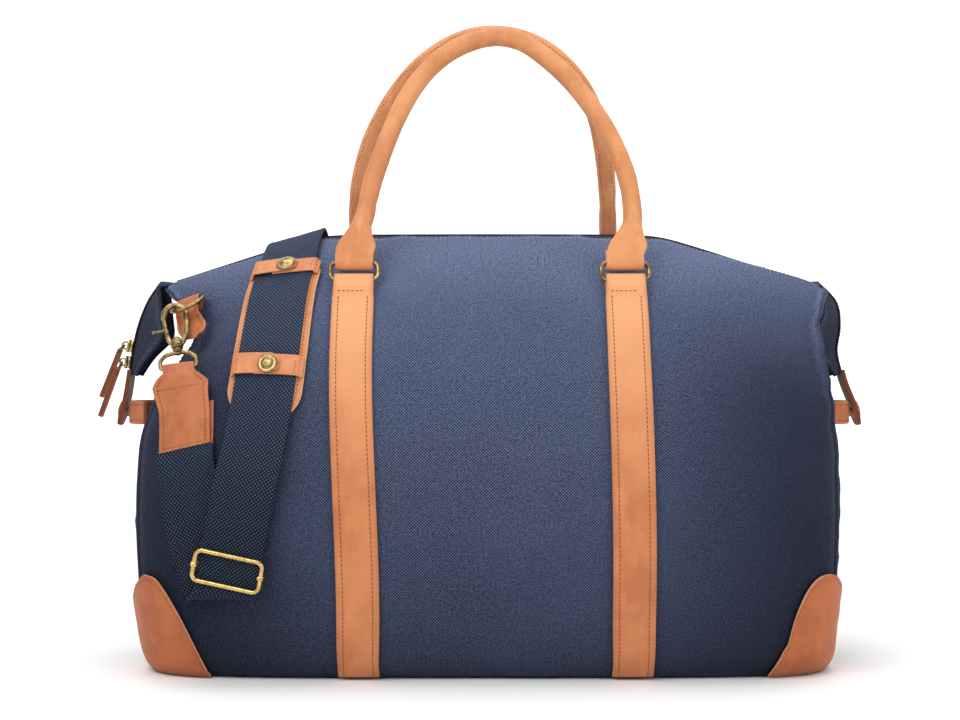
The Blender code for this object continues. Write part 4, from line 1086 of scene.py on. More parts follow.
def wing_point(t, share, sign):
    """On the middle surface of a drop end: t from the hinge down, share across. Below 0 it runs
    on into the bag."""
    bend = abs(share) ** 1.3
    if t < 0:
        x, z, half, inward, drop = WING_ROWS[0]
        start = Vector((x + inward * bend, half * share, z + drop * bend))
        inner = Vector((-0.2540, 0.0115 * share, 0.3022 - 0.0014 * bend))
        p = start.lerp(inner, -t)
    else:
        x, z, half, inward, drop = smooth(WING_ROWS, t)
        inward *= 1 - 0.45 * ease((t - 0.55) / 0.45)
        if sign < 0:
            x -= smooth(RIGHT_END_SHIFT, t)[0]
        ripple = noise.noise(Vector((share * 1.4, t * 5, sign * 3))) * 0.0010 * abs(share)
        p = Vector((x + inward * bend + ripple, half * share, z + drop * bend))
    return mirrored([p], sign)[0]


def drop_end(side_name, sign):
    """The end of the zip folded down outside the bag: doubled cloth with turned hems."""
    rows, wear_and_painted_light = [], []
    steps = spaced(-1.0, 0.0, 9)[:-1] + spaced(0.0, 1.0, 46)
    shares = spaced(-1.0, 1.0, 25)
    for t in steps:
        rows.append([wing_point(t, share, sign) for share in shares])
        wear_and_painted_light.append([0.55 * bell(1 - abs(share), 0.10, 0.12) for share in shares])
    if sign < 0:
        rows = [row[::-1] for row in rows]
    name = "drop_end_" + side_name
    body = side_name + "_wing"
    mesh = grid(name, rows, wear_and_painted_light=wear_and_painted_light)
    cloth = shown(name, mesh, None, "canvas", [CANVAS_DARK], ["wing_" + side_name], 0.0022, 0.0)
    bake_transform(cloth)
    for edge, hem_name in ((-1.0, "front"), (1.0, "rear")):
        points = [wing_point(t, edge, sign) for t in spaced(0.0, 1.0, 50)]
        hem = rod(points, 0.0017, sides=10)
        shown(f"drop_hem_{side_name}_{hem_name}", hem, body, "canvas", [CANVAS_DARK])
    paths = []
    for edge in (-0.80, 0.80):
        path = []
        for t in spaced(0.02, 0.98, 50):
            p = wing_point(t, edge, sign)
            run = wing_point(t + 0.01, edge, sign) - wing_point(t - 0.01, edge, sign)
            across = wing_point(t, edge + 0.05, sign) - wing_point(t, edge - 0.05, sign)
            n = run.cross(across).normalized()
            n = n if n.x * sign < 0 or n.z > 0.7 else -n
            path.append((p + n * 0.0012, n))
        paths.append(path)
    stitches("drop_stitching_" + side_name, paths, body, "canvas", NAVY_THREAD, *CANVAS_ROW)
    ridge = []
    for t in spaced(0.0, 0.97, 60):
        p = wing_point(t, 0.0, sign)
        run = (wing_point(t + 0.01, 0.0, sign) - wing_point(t - 0.01, 0.0, sign)).normalized()
        n = run.cross(Y_AXIS)
        n = n if n.x * -sign > 0 else -n
        ridge.append((p + n * 0.0013, n))
    teeth("zip_teeth_" + side_name, ridge, body)


for side_name, sign in (("left", 1), ("right", -1)):
    drop_end(side_name, sign)


# ---------------------------------------------------------------- snap tabs at the ends
# radius and height, from the foot up
SNAP_CAP = [(0.0003, 0.0), (0.0060, 0.0), (0.0076, 0.0), (0.0077, 0.0007), (0.0073, 0.0015), (0.0066, 0.0020)]
SNAP_CAP += [(0.0058, 0.0020), (0.0053, 0.0019), (0.0048, 0.0022), (0.0034, 0.0028), (0.0016, 0.0031)]
SNAP_CAP += [(0.0003, 0.00315)]
SNAP_STUD = [(0.0003, 0.0), (0.0038, 0.0), (0.0039, 0.0008), (0.0036, 0.0013), (0.0030, 0.0016)]
SNAP_STUD += [(0.0022, 0.0017), (0.0003, 0.0017)]


def snap(name, profile, place, body, replaced):
    return brass(name, turned_mesh(profile, place), body, replaced, CAP_BRASS)


def end_tab_half(share):
    left = (1.0 - share) * 0.041
    if left > 0.0115:
        return 0.0125 - 0.0010 * (1 - share)
    return 0.0030 + 0.0095 * math.sqrt(max(1 - (1 - left / 0.0115) ** 2, 0.0))


def laid_on_end(y, z):
    """How far out the end panel is at this y and height."""
    row = smooth(BODY_ROWS, halved(0.0, 1.0, lambda v: around(0.0, v)[0].z < z))
    return row[2] * (1 - min(abs(y) / row[0], 0.99) ** CORNER) ** (1 / CORNER)


def end_pieces(side_name, sign):
    start, end = END_TAB
    slope = (end - start).normalized()
    outward = Vector((slope.z, 0, -slope.x))
    body = side_name + "_wing"
    points, halves = [], []
    for share in spaced(-0.12, 1.0, 48):
        closer = 0.0050 * (1 - ease((share + 0.12) / 0.8)) if sign < 0 else 0.0
        points.append(start.lerp(end, share) + X_AXIS * (0.0010 * math.sin(math.pi * share) + closer))
        halves.append(end_tab_half(share))
    for layer, offset in (("outer", 0.00072), ("inner", -0.00076)):
        shifted = mirrored([p + outward * offset for p in points], sign)
        out = mirrored([outward], sign)[0]
        places = stations(shifted, Y_AXIS * sign, [h - (0.0003 if layer == "inner" else 0) for h in halves], out)
        section = [(k, 0.0) for k in spaced(-1.0, 1.0, 9)]
        replaced = ["zip_end_tab_" + side_name] if layer == "outer" else []
        name = f"end_tab_{side_name}_{layer}"
        ribbon(name, places, 0.00128, section, body, [LEATHER_TAB, DARK_EDGE], replaced, 0.00025)
        if layer == "outer":
            left = seam_path(places, 0.0024, 0.0006, 3, -3, follow=True)
            right = seam_path(places, -0.0024, 0.0006, 3, -3, follow=True)
            tan_stitches("end_tab_stitching_" + side_name, [left, right], body, TAB_ROW)
    middle = start.lerp(end, 0.70) + X_AXIS * 0.0008
    cap_at, out = mirrored([middle + outward * (LEATHER / 2 + CLEAR), outward], sign)
    snap("end_snap_cap_" + side_name, SNAP_CAP, frame_matrix(cap_at, Y_AXIS, out), body, ["end_snap_" + side_name])

    points = []
    for share in spaced(-1.0, 1.0, 81):
        y = 0.036 * share
        foot = laid_on_end(y, SIDE_TAB_Z)
        rise = max(0.0, 1 - (share / 0.72) ** 2) ** 0.8
        points.append(Vector((-foot - 0.0032 - (SIDE_TAB_REACH - foot - 0.0032) * rise, y, SIDE_TAB_Z)))
    # soften the corners where the loop leaves the bag
    for _ in range(6):
        between = [(a + b * 2 + c) / 4 for a, b, c in zip(points, points[1:], points[2:])]
        points = [points[0], *between, points[-1]]
    places = stations(mirrored(points, sign), Z_AXIS, 0.0085, Vector((-sign, 0, 0)))
    name = "side_loop_" + side_name
    ribbon(name, places, LEATHER, stitched_section(0.0085, 0.0022), "shell", [LEATHER_TAB, DARK_EDGE],
           ["side_tab_" + side_name])
    rows = [seam_path(places, k * 0.0063, LEATHER / 2, 1, -1) for k in (-1, 1)]
    for column in (2, 7, -3, -8):
        m, a, o, h = places[column]
        rows.append([(m + a * (0.006 * k) + o * LEATHER / 2, o) for k in (-1, 1)])
    tan_stitches("side_loop_stitching_" + side_name, rows, "shell", TAB_ROW)
    stud_at = mirrored([Vector((-SIDE_TAB_REACH - LEATHER / 2 - CLEAR, 0, SIDE_TAB_Z))], sign)[0]
    stud_place = frame_matrix(stud_at, Y_AXIS, Vector((-sign, 0, 0)))
    snap("side_stud_post_" + side_name, SNAP_STUD, stud_place, "shell", ["side_stud_" + side_name])


for side_name, sign in (("left", 1), ("right", -1)):
    end_pieces(side_name, sign)


# ---------------------------------------------------------------- zip sliders and pulls
PULL_OFFSET = 0.0047
PULL_SHAPE = [(-0.0012, 0.0022), (-0.0002, 0.0034), (0.0020, 0.0041), (0.0200, 0.0042), (0.0385, 0.0041)]
PULL_SHAPE += [(0.0402, 0.0037), (0.0410, 0.0030)]
PULL_RIVET = [(0.0003, -0.0021), (0.0015, -0.0021), (0.0018, -0.0018), (0.0018, 0.0018), (0.0015, 0.0021)]
PULL_RIVET += [(0.0003, 0.0022)]
# the slider's plates and neck: place along it, half width and half thickness
SLIDER_UPPER = [(-0.0050, 0.0028, 0.0006), (-0.0046, 0.0034, 0.0011), (-0.0020, 0.0044, 0.0012)]
SLIDER_UPPER += [(0.0030, 0.0046, 0.0012), (0.0050, 0.0034, 0.0010), (0.0055, 0.0024, 0.0006)]
SLIDER_UNDER = [(-0.0048, 0.0030, 0.0007), (-0.0020, 0.0044, 0.0009), (0.0030, 0.0046, 0.0009)]
SLIDER_UNDER += [(0.0052, 0.0030, 0.0007)]
SLIDER_NECK = [(0.0010, 0.0012, 0.0018), (0.0036, 0.0014, 0.0018)]


def ring_of(centre, first, second, radius, wire, count=40):
    points = [centre + first * (radius * math.cos(t)) + second * (radius * math.sin(t)) for t in turns(count)]
    return rod(points, wire, cyclic=True)


def slab(start, along, thick, sizes):
    """A rounded block across Y: sizes are places along it with the half width and half thickness."""
    outline = [superellipse(turn, 6) for turn in turns(16, 0.5)]
    return loft("slab", [
        [start + along * reach + Y_AXIS * (half * c) + thick * (deep * s) for c, s in outline]
        for reach, half, deep in sizes
    ])


def zip_slider(letter, height, slope, link_lean, pull_lean, beside):
    up = Vector((slope, 0, math.sqrt(1 - slope * slope)))
    out = Vector((-up.z, 0, up.x))
    ridge = smooth(WING_ROWS, halved(0.0, 1.0, lambda t: smooth(WING_ROWS, t)[1] > height))[0]
    centre = Vector((ridge, 0, height)) + out * 0.0041
    loop = centre + out * 0.0040
    upper = slab(centre + out * 0.0013, up, out, SLIDER_UPPER)
    under = slab(centre - out * 0.0015, up, out, SLIDER_UNDER)
    neck = slab(centre, up, out, SLIDER_NECK)
    bail = ring_of(loop, up, out, 0.0029, 0.00078)
    slider = "zip_slider_" + letter
    brass("slider_metal_" + letter, together("slider", [upper, under, neck, bail]), slider, [slider])
    body = "zip_pull_" + letter
    link_run = Vector((-math.sin(link_lean), 0, -math.cos(link_lean)))
    pull = Vector((-math.sin(pull_lean), 0, -math.cos(pull_lean)))
    inside = loop + out * 0.0009
    link = ring_of(inside + link_run * 0.0033, link_run, Y_AXIS, 0.0033, 0.0007)
    start = inside + link_run * 0.0062 + Y_AXIS * beside
    thick = Vector((pull.z, 0, -pull.x))
    brass("pull_link_" + letter, link, body)
    outline = [smooth(PULL_SHAPE, share) for share in spaced(0.0, 1.0, 40)]
    places = [(start + pull * reach, Y_AXIS, thick, half) for reach, half in outline]
    for layer in (-1, 1):
        moved = [(m + o * (0.0008 * layer), a, o, h) for m, a, o, h in places]
        name = f"pull_leather_{letter}_{'inner' if layer < 0 else 'outer'}"
        ribbon(name, moved, 0.0015, [(k, 0.0) for k in spaced(-1, 1, 7)], body, [LEATHER_TAB, DARK_EDGE],
               [body] if layer > 0 else [], 0.0003)
    rivet = turned_mesh(PULL_RIVET, frame_matrix(start + pull * 0.0040, Y_AXIS, thick), 16)
    brass("pull_rivet_" + letter, rivet, body)
    rows = []
    for face in (-1, 1):
        for k in (-0.0028, 0.0028):
            rows.append([(m + a * k + o * (0.00155 * face), o * face) for m, a, o, h in places[8:-3]])
    tan_stitches("pull_stitching_" + letter, rows, body, PULL_ROW)


zip_slider("a", *SLIDERS["a"], math.radians(50), math.radians(21.5), PULL_OFFSET)
zip_slider("b", *SLIDERS["b"], math.radians(25), math.radians(20), -PULL_OFFSET)


# ---------------------------------------------------------------- straps and rings
def folded_end(wire_radius, leather, back_length, rise, steps=20):
    bend = wire_radius + CLEAR + leather / 2
    places = []
    for share in spaced(0.0, 1.0, 14):
        places.append((-0.020 + 0.015 * share, bend - rise * (1 - ease(share * 1.15))))
    for i in range(steps + 1):
        turn = math.pi / 2 - math.pi * i / steps
        places.append((bend * math.cos(turn), bend * math.sin(turn)))
    places += [(-back_length * share, -bend) for share in (0.35, 0.7, 1.0)]
    return places


STRAP_SEAM = 0.0042
LOOP_T = at_height(STRAP_X, RING_HEIGHT, -1)
LOWER_BAR, LOOP_OUT = on_bag(STRAP_X, LOOP_T, BEDDED + LEATHER + CLEAR + RING_WIRE)
LOOP_UP = LOOP_OUT.cross(X_AXIS).normalized()
HANDLE_LEAN = math.radians(17.5)
LEAN = Vector((0, math.sin(HANDLE_LEAN), math.cos(HANDLE_LEAN)))
UPPER_BAR = LOWER_BAR + LEAN * RING_BARS
LEAN_OUT = Vector((0, -LEAN.z, LEAN.y))


def front_strap(side_name, x):
    """A leather strap from the bottom seam up to the loop round the ring's lower bar."""
    points, halves = [], []
    half = STRAP_WIDTH / 2
    # the strap leans a little on its way down
    lean = 0.0065 if x < 0 else 0.0025
    low, high = at_height(x, 0.0050, -1), at_height(x, RING_HEIGHT - 0.021, -1)
    for t in spaced(low, high, 120):
        m, out = on_bag(x, t, BEDDED + LEATHER / 2)
        crease = 1 - abs(noise.noise(Vector((m.z * 30 + x * 50, x * 20, 2))))
        m = m + out * (0.0004 * crease**6 + 0.0004 * noise.noise(Vector((m.z * 22, x * 9, 7))))
        outwards = math.copysign(0.0008, x) * ease((0.055 - m.z) / 0.045)
        m = m + X_AXIS * (lean * ease((0.262 - m.z) / 0.20) + outwards)
        points.append(m)
        halves.append(half - 0.0005 * bell(m.z, 0.012, 0.014))
    bar = Vector((x, LOWER_BAR.y, LOWER_BAR.z))
    rise = 2 * (RING_WIRE + CLEAR) + LEATHER
    fold = folded_end(RING_WIRE, LEATHER, LOOP_TAIL, rise)
    for along, above in fold[1:]:
        points.append(bar + LOOP_UP * along + LOOP_OUT * above)
        halves.append(half - (half - LOOP_HALF) * ease((along + 0.020) / 0.012))
    for i in range(118, 128):
        points[i] = (points[i - 1] + points[i] * 2 + points[i + 1]) / 4
    places = stations(points, X_AXIS, halves, -Y_AXIS)
    name = "leather_strap_front_" + side_name
    section = stitched_section(half, STRAP_SEAM)
    wear_and_painted_light = [[0.55 * abs(k) ** 14 for k, _ in section]] * len(places)
    strap = ribbon(name, places, LEATHER, section, "shell", [LEATHER_STRAP, RAW_EDGE],
                   ["strap_front_" + side_name], wear_and_painted_light=wear_and_painted_light)
    first_fold = next(i for i, point in enumerate(points) if point.z > RING_HEIGHT - 0.0065)
    rows = [seam_path(places, k * (half - STRAP_SEAM), LEATHER / 2 + 0.00005, 2, first_fold) for k in (-1, 1)]
    rows.append(cross_seam(places[first_fold], 0.0030, LEATHER))
    thread = tan_stitches("strap_stitching_front_" + side_name, rows, "shell", STRAP_ROW)
    return strap, thread


def oblong(half_wide, half_tall, corner, steps=9):
    points = []
    for cx, cz, start in ((1, 1, 0), (-1, 1, 90), (-1, -1, 180), (1, -1, 270)):
        for step in range(steps + 1):
            turn = math.radians(start + 90 * step / steps)
            wide = cx * (half_wide - corner) + corner * math.cos(turn)
            tall = cz * (half_tall - corner) + corner * math.sin(turn)
            points.append((wide, tall))
    return points


def handle_ring(side_name, x):
    bar = Vector((x, LOWER_BAR.y, LOWER_BAR.z))
    outline = oblong(RING_WIDTH / 2 - RING_WIRE, RING_BARS / 2, 0.0050)
    points = [bar + X_AXIS * px + LEAN * (RING_BARS / 2 + pz) for px, pz in outline]
    name = "handle_ring_front_" + side_name
    return brass(name, rod(points, RING_WIRE, True, 16), "front_rings", ["ring_front_" + side_name])


for side_name, other_name, x in (("left", "right", -STRAP_X), ("right", "left", STRAP_X)):
    strap, thread = front_strap(side_name, x)
    half_turned(strap, "leather_strap_rear_" + other_name, "shell", "strap_rear_" + other_name)
    half_turned(thread, "strap_stitching_rear_" + other_name, "shell")
    ring = handle_ring(side_name, x)
    half_turned(ring, "handle_ring_rear_" + other_name, "rear_rings", "ring_rear_" + other_name)


# ---------------------------------------------------------------- rolled handles
HANDLE_SIDES = 28


def section(centre, wide, thick, half_wide, half_thick, round_off):
    """A section with HANDLE_SIDES points: round_off 1 is an ellipse and 0 nearly a rectangle."""
    outline = [superellipse(turn, 2 + 6 * (1 - round_off)) for turn in turns(HANDLE_SIDES, 0.5)]
    return [centre + wide * (half_wide * c) + thick * (half_thick * s) for c, s in outline]


# the leather opening out from the roll to the fold: height, half width, half depth, offset, roundness
FLARE = [
    (0.0115, 0.0150, 0.0021, 0.85, 0.30),
    (0.0165, 0.0136, 0.0032, 0.65, 0.50),
    (0.0225, 0.0108, 0.0050, 0.40, 0.75),
    (0.0290, 0.0087, 0.0066, 0.15, 0.95),
]


def handle_end(x, first_x):
    rings = []
    profile = folded_end(RING_WIRE + 0.0013, LEATHER, LOOP_TAIL, 0.0, 14)[13:][::-1]
    bar = Vector((x, UPPER_BAR.y, UPPER_BAR.z))
    for i, (along, above) in enumerate(profile):
        centre = bar - LEAN * along + LEAN_OUT * above
        before, after = profile[max(i - 1, 0)], profile[min(i + 1, len(profile) - 1)]
        run = (LEAN * -(after[0] - before[0]) + LEAN_OUT * (after[1] - before[1])).normalized()
        rings.append(section(centre, X_AXIS, run.cross(X_AXIS), LOOP_HALF, LEATHER / 2, 0.0))
    bend = profile[-1][1]
    for height, half, deep, off, round_off in FLARE:
        there = x + (first_x - x) * min(height / 0.022, 1.0) + max(height - 0.022, 0.0) * 0.22
        centre = Vector((there, bar.y, bar.z)) + LEAN * height + LEAN_OUT * bend * off
        rings.append(section(centre, X_AXIS, LEAN.cross(X_AXIS), half, deep, round_off))
    return rings


def denser(rings, count):
    """More rings, on smooth curves through the given ones."""
    flat = [[value for point in ring for value in point] for ring in rings]
    made = []
    for share in spaced(0.0, 1.0, count):
        row = smooth(flat, share)
        made.append([Vector(row[i:i + 3]) for i in range(0, len(row), 3)])
    return made


def rolled_handle(name, arch):
    def place(x, h):
        return Vector((x, UPPER_BAR.y, UPPER_BAR.z)) + LEAN * h

    # the ends' rings start at the same point of the section as the roll's
    half = HANDLE_SIDES // 2
    start = [ring[half:] + ring[:half] for ring in handle_end(-STRAP_X, arch[0][0])]
    finish = [ring[::-1] for ring in handle_end(STRAP_X, arch[-1][0])[::-1]]
    tube = []
    first, last = 0.70 / (len(arch) - 1), 1 - 0.70 / (len(arch) - 1)
    for share in spaced(first, last, 90):
        here = place(*smooth(arch, share))
        behind, ahead = [place(*smooth(arch, share + step)) for step in (-0.01, 0.01)]
        run = (ahead - behind).normalized()
        wide = LEAN_OUT.cross(run).normalized()
        girth = 1 + 0.020 * noise.noise(Vector((share * 16, 1, 2)))
        # pinched where it is held folded
        pinch = bell(share, 0.105, 0.010) * 0.10 + bell(share, 0.88, 0.012) * 0.05
        tube.append(section(here, wide, run.cross(wide), HANDLE_TUBE * (girth - pinch), HANDLE_TUBE * girth, 1.0))
    flare_in = denser(start[-5:] + tube[:1], 24)[1:-1]
    flare_out = denser(tube[-1:] + finish[:5], 24)[1:-1]
    rings = start[:-4] + flare_in + tube + flare_out + finish[4:]
    # the two edges of the leather meet at the back: a furrow along it, open where it flares
    seam, crest = [], []
    for r, ring in enumerate(rings):
        centre = sum(ring, Vector()) / len(ring)
        back = min(range(HANDLE_SIDES), key=lambda i: (ring[i] - centre).dot(LEAN_OUT))
        near = min(r - len(start), len(rings) - 1 - r - len(finish)) + 4
        if near < 0:
            continue
        for off, deep in ((-1, 0.25), (0, 1.0), (1, 0.25)):
            i = (back + off) % HANDLE_SIDES
            ring[i] = ring[i].lerp(centre, 0.13 * deep * min(1.0, near / 8))
        if near >= 6:
            for off, rows in ((3, seam), (-3, crest)):
                p = ring[(back + off) % HANDLE_SIDES]
                rows.append((p, (p - centre).normalized()))
    wear_and_painted_light = []
    for ring in rings:
        centre = sum(ring, Vector()) / len(ring)
        wear_and_painted_light.append([0.30 * ease((-(p - centre).normalized().dot(LEAN_OUT) - 0.90) / 0.08) for p in ring])
    mesh = loft("rolled_" + name, rings, wear_and_painted_light=wear_and_painted_light)
    handle = shown("rolled_" + name, mesh, None, "leather", [LEATHER_HANDLE, RAW_EDGE])
    thread = tan_stitches(name + "_stitching", [seam, crest], None, HANDLE_ROW)
    return handle, thread


for place, arch in (("front", FRONT_ARCH), ("rear", REAR_ARCH)):
    for obj in rolled_handle("handle_" + place, arch):
        if place == "rear":
            obj.data.transform(Matrix.Rotation(math.pi, 4, "Z"))
        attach(obj, place + "_handle")
        if obj.name.startswith("rolled"):
            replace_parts(obj, "handle_" + place)


# ---------------------------------------------------------------- leather corner caps
CAP_FOOT, CAP_RISE = 0.004, 0.070
CAP_ANGLES = (15.0, 39.5, 49.0)


def height_to_v(plan, z):
    return halved(0.0, 1.0, lambda v: around(plan, v)[0].z < z)


def corner_cap(place, sign_x, side, wavy):
    """Leather round one bottom corner; wavy gives its inner edge an S."""
    rows, wear_and_painted_light, seam = [], [], []
    end, edge, inner = CAP_ANGLES
    columns, levels = 61, 26
    for level in spaced(0.0, 1.0, levels):
        row, shade = [], []
        for angle in spaced(end, inner, columns):
            away = (angle - edge) / (edge - end if angle < edge else inner - edge)
            arch = math.sqrt(max(1 - abs(away) ** 2.2, 0.0))
            if wavy and away < 0:
                arch = 0.30 + 0.70 * (1 - abs(away) ** 1.6) ** 1.5
            elif wavy:
                arch = max(math.sqrt(max(1 - (away / 0.84) ** 3, 0.0)), 0.27 * min((1 - away) / 0.16, 1.0))
            elif away < 0:
                arch = 0.25 + 0.75 * (1 - abs(away)) ** 1.1
            elif away < 0.2:
                arch = 1.0 - 0.08 * away
            else:
                arch = 0.984 * max(1 - ((away - 0.2) / 0.80) ** 1.7, 0.0) ** 0.75
            top = CAP_FOOT + 0.006 + CAP_RISE * arch
            plan = side * (angle if sign_x > 0 else 180 - angle)
            z = CAP_FOOT + (top - CAP_FOOT) * level
            v = height_to_v(plan, z)
            p, n = around(plan, v)
            p = p + spread(p, smooth(BODY_ROWS, v)[0])
            bump = 0.0005 * noise.noise(p * 45) + 0.0003 * noise.noise(p * 110)
            groove = 0.0003 * bell(top - z, 0.0040, 0.0011)
            turn_in = 0.0006 * ease(1 - (z - CAP_FOOT) / 0.006)
            row.append(p + n * (0.0038 + bump - groove - turn_in))
            shade.append(0.35 * ease(1 - (top - z) / 0.003) + 0.35 * ease(1 - (z - CAP_FOOT) / 0.010))
        if sign_x * side < 0:
            row.reverse()
            shade.reverse()
        rows.append(row)
        wear_and_painted_light.append(shade)
    for column in range(3, columns - 3):
        top, foot = rows[-1][column], rows[0][column]
        height = (top - foot).length
        if height > 0.010:
            place_at = (levels - 1) * (1 - 0.0040 / height)
            i = int(place_at)
            p = rows[i][column].lerp(rows[i + 1][column], place_at - i)
            across = rows[i][column + 1] - rows[i][column - 1]
            n = across.cross(rows[i + 1][column] - rows[i][column]).normalized()
            seam.append((p + n * 0.0009, n))
    name = f"leather_cap_{place}"
    shown(name, grid(name, rows, wear_and_painted_light=wear_and_painted_light), "shell", "leather", [LEATHER_CAP, RAW_EDGE], ["corner_cap_" + place],
          0.0018, 0.0, 0.0003)
    tan_stitches("cap_stitching_" + place, [seam], "shell", HANDLE_ROW)


for end_name, sign_x in (("left", -1), ("right", 1)):
    for face_name, side in (("front", -1), ("rear", 1)):
        corner_cap(f"{face_name}_{end_name}", sign_x, side, (end_name == "right") == (face_name == "front"))


# ---------------------------------------------------------------- D-rings, hooks and strap ends
TAB_LEATHER = 0.0020
D_WIRE, EYE_WIRE = 0.0015, 0.0016
# the D-ring off its hanging line, the tab's lean, the hook's turn, and the place on the ring where the hook hangs
D_LIFT, TAB_TILT, HOOK_TWIST, D_CONTACT = [math.radians(a) for a in (28, 25, 6, 33)]
D_HALF, D_LEG = 0.0125, 0.0080
HOOK_REACH = 0.0546
TAB_SWING = math.radians(32)
TAB_HALF = 0.0105
END_HALF, NECK_HALF = 0.0205, 0.0110
# the leather end's middle line over the webbing: x, z and height over the canvas
STRAP_END_ROWS = [
    (-0.2249, 0.1745, 0.0048),
    (-0.2251, 0.1860, 0.0052),
    (-0.2254, 0.1960, 0.0060),
    (-0.2258, 0.2050, 0.0074),
]
EYE_HALF = 0.0135
EYE_OUTLINE = [(-0.5, 0.0), (0.0, 0.0), (0.5, 0.0), (0.93, 0.0007), (1.0, 0.0040), (0.97, 0.0085)]
EYE_OUTLINE += [(0.72, 0.0125), (0.35, 0.0142), (0.0, 0.0146), (-0.35, 0.0142), (-0.72, 0.0125)]
EYE_OUTLINE += [(-0.97, 0.0085), (-1.0, 0.0040), (-0.93, 0.0007)]
# turned pieces: radius and height up from the eye's bar
STEM_PROFILE = [(0.0003, 0.0286), (0.0020, 0.0285), (0.0028, 0.0283), (0.0030, 0.0277), (0.0028, 0.0272)]
STEM_PROFILE += [(0.0016, 0.0270), (0.0016, 0.0180), (0.0030, 0.0179), (0.0035, 0.0174), (0.0038, 0.0152)]
STEM_PROFILE += [(0.0034, 0.0144), (0.0026, 0.0140), (0.0003, 0.0138)]
BARREL_PROFILE = [(0.0022, 0.0262), (0.0036, 0.0264), (0.0041, 0.0260), (0.0046, 0.0247), (0.0048, 0.0232)]
BARREL_PROFILE += [(0.0045, 0.0228), (0.0045, 0.0218), (0.0048, 0.0214), (0.0047, 0.0200), (0.0041, 0.0187)]
BARREL_PROFILE += [(0.0036, 0.0183), (0.0022, 0.0184)]
# bent pieces of the hook seen from the front: x, and height up from the eye's bar
HOOK_LINE = [(0.0036, 0.0235), (0.0054, 0.0270), (0.0074, 0.0320), (0.0082, 0.0390), (0.0084, 0.0460)]
HOOK_LINE += [(0.0082, 0.0530), (0.0062, 0.0580), (0.0022, 0.0607), (-0.0022, 0.0605)]
HOOK_LINE += [(-0.0060, 0.0575), (-0.0082, 0.0525), (-0.0086, 0.0480)]
EAR_LINE = [(-0.0030, 0.0225), (-0.0056, 0.0262), (-0.0066, 0.0300)]
GATE_LINE = [(-0.0070, 0.0330), (-0.0079, 0.0390), (-0.0085, 0.0452)]
LEVER_LINE = [(-0.0074, 0.0365), (-0.0110, 0.0360), (-0.0165, 0.0352)]
KNOB_PROFILE = [(0.0003, -0.0012), (0.0011, -0.0010), (0.0016, 0.0002), (0.0013, 0.0013), (0.0003, 0.0017)]


def d_outline(centre, bar, hang):
    """The ring's line: a straight bar with rounded corners, two short legs and a half circle."""
    half, leg = D_HALF, D_LEG
    corners = []
    for i in range(7):
        turn = math.pi / 2 * i / 6
        corners.append((half * (0.86 + 0.14 * math.sin(turn)), half * 0.14 * (1 - math.cos(turn))))
    points = [centre + bar * half * k for k in spaced(-0.82, 0.82, 12)]
    points += [centre + bar * reach + hang * drop for reach, drop in corners]
    points += [centre + bar * half + hang * leg * k for k in (0.45, 0.75)]
    for i in range(41):
        turn = math.pi * i / 40
        points.append(centre + hang * (leg + half * math.sin(turn)) + bar * (half * math.cos(turn)))
    points += [centre - bar * half + hang * leg * k for k in (0.75, 0.45)]
    points += [centre - bar * reach + hang * drop for reach, drop in corners[::-1]]
    return points


def bar_mesh(place, line, radius, count=40):
    """A round bar along a line of a side view, with rounded ends."""
    points = rounded([place @ Vector((x, 0, z)) for x, z in line], count)
    lead = (points[0] - points[1]).normalized()
    tail = (points[-1] - points[-2]).normalized()
    front = [points[0] + lead * (radius * k) for k in (0.85, 0.55)]
    back = [points[-1] + tail * (radius * k) for k in (0.55, 0.85)]
    thick = [radius * 0.45, radius * 0.84] + [radius] * count + [radius * 0.84, radius * 0.45]
    return rod(front + points + back, thick, sides=16)


def ring_tab(foot, outward, strip, bar_dir, bar):
    """The leather tab, from its rounded end up to the fold round the D-ring's bar."""
    points, halves, sides = [], [], []
    # the loose leaf curves out to one side of the fold
    flat, step, rows = foot - strip * 0.0170, 0.0007, []
    count = 34
    for i in range(count):
        turned = Matrix.Rotation(TAB_SWING * ease(i * step / 0.0120), 3, outward)
        flat = flat - (turned @ strip) * step
        short = max(TAB_HALF - (count - 1 - i) * step, 0.0)
        rows.append((laid(flat.x, flat.z, -1, 0.0012 + TAB_LEATHER / 2)[0], turned @ bar_dir,
                     max(math.sqrt(TAB_HALF**2 - short**2), 0.0020)))
    for point, side, half in reversed(rows):
        points.append(point)
        sides.append(side)
        halves.append(half)
    fold = folded_end(D_WIRE, TAB_LEATHER, 0.0100, 0.0018)
    for along, above in fold[3:]:
        points.append(bar + strip * along + outward * above)
        sides.append(bar_dir)
        halves.append(0.0095)
    for i in range(count - 2, count + 4):
        points[i] = (points[i - 1] + points[i] * 2 + points[i + 1]) / 4
    places = stations(points, sides, halves, outward)
    name = "ring_tab_left"
    tab = ribbon(name, places, TAB_LEATHER, stitched_section(TAB_HALF, 0.0026), "shell",
                 [LEATHER_TAB, DARK_EDGE], ["d_ring_tab_left"])
    last = next(i for i, point in enumerate(points) if (point - bar).dot(strip) > -0.0060)
    rows = [seam_path(places, 0.0024 * k, TAB_LEATHER / 2, 5, last, follow=True) for k in (-1, 1)]
    for i, wide in ((last, 0.0075), (6, 0.0050)):
        m, a, o, _ = places[i]
        rows.append([(m + a * (wide * k) + o * TAB_LEATHER / 2, o) for k in (-1, 1)])
    thread = tan_stitches("ring_tab_stitching_left", rows, "shell", TAB_ROW)
    return [tab, thread]


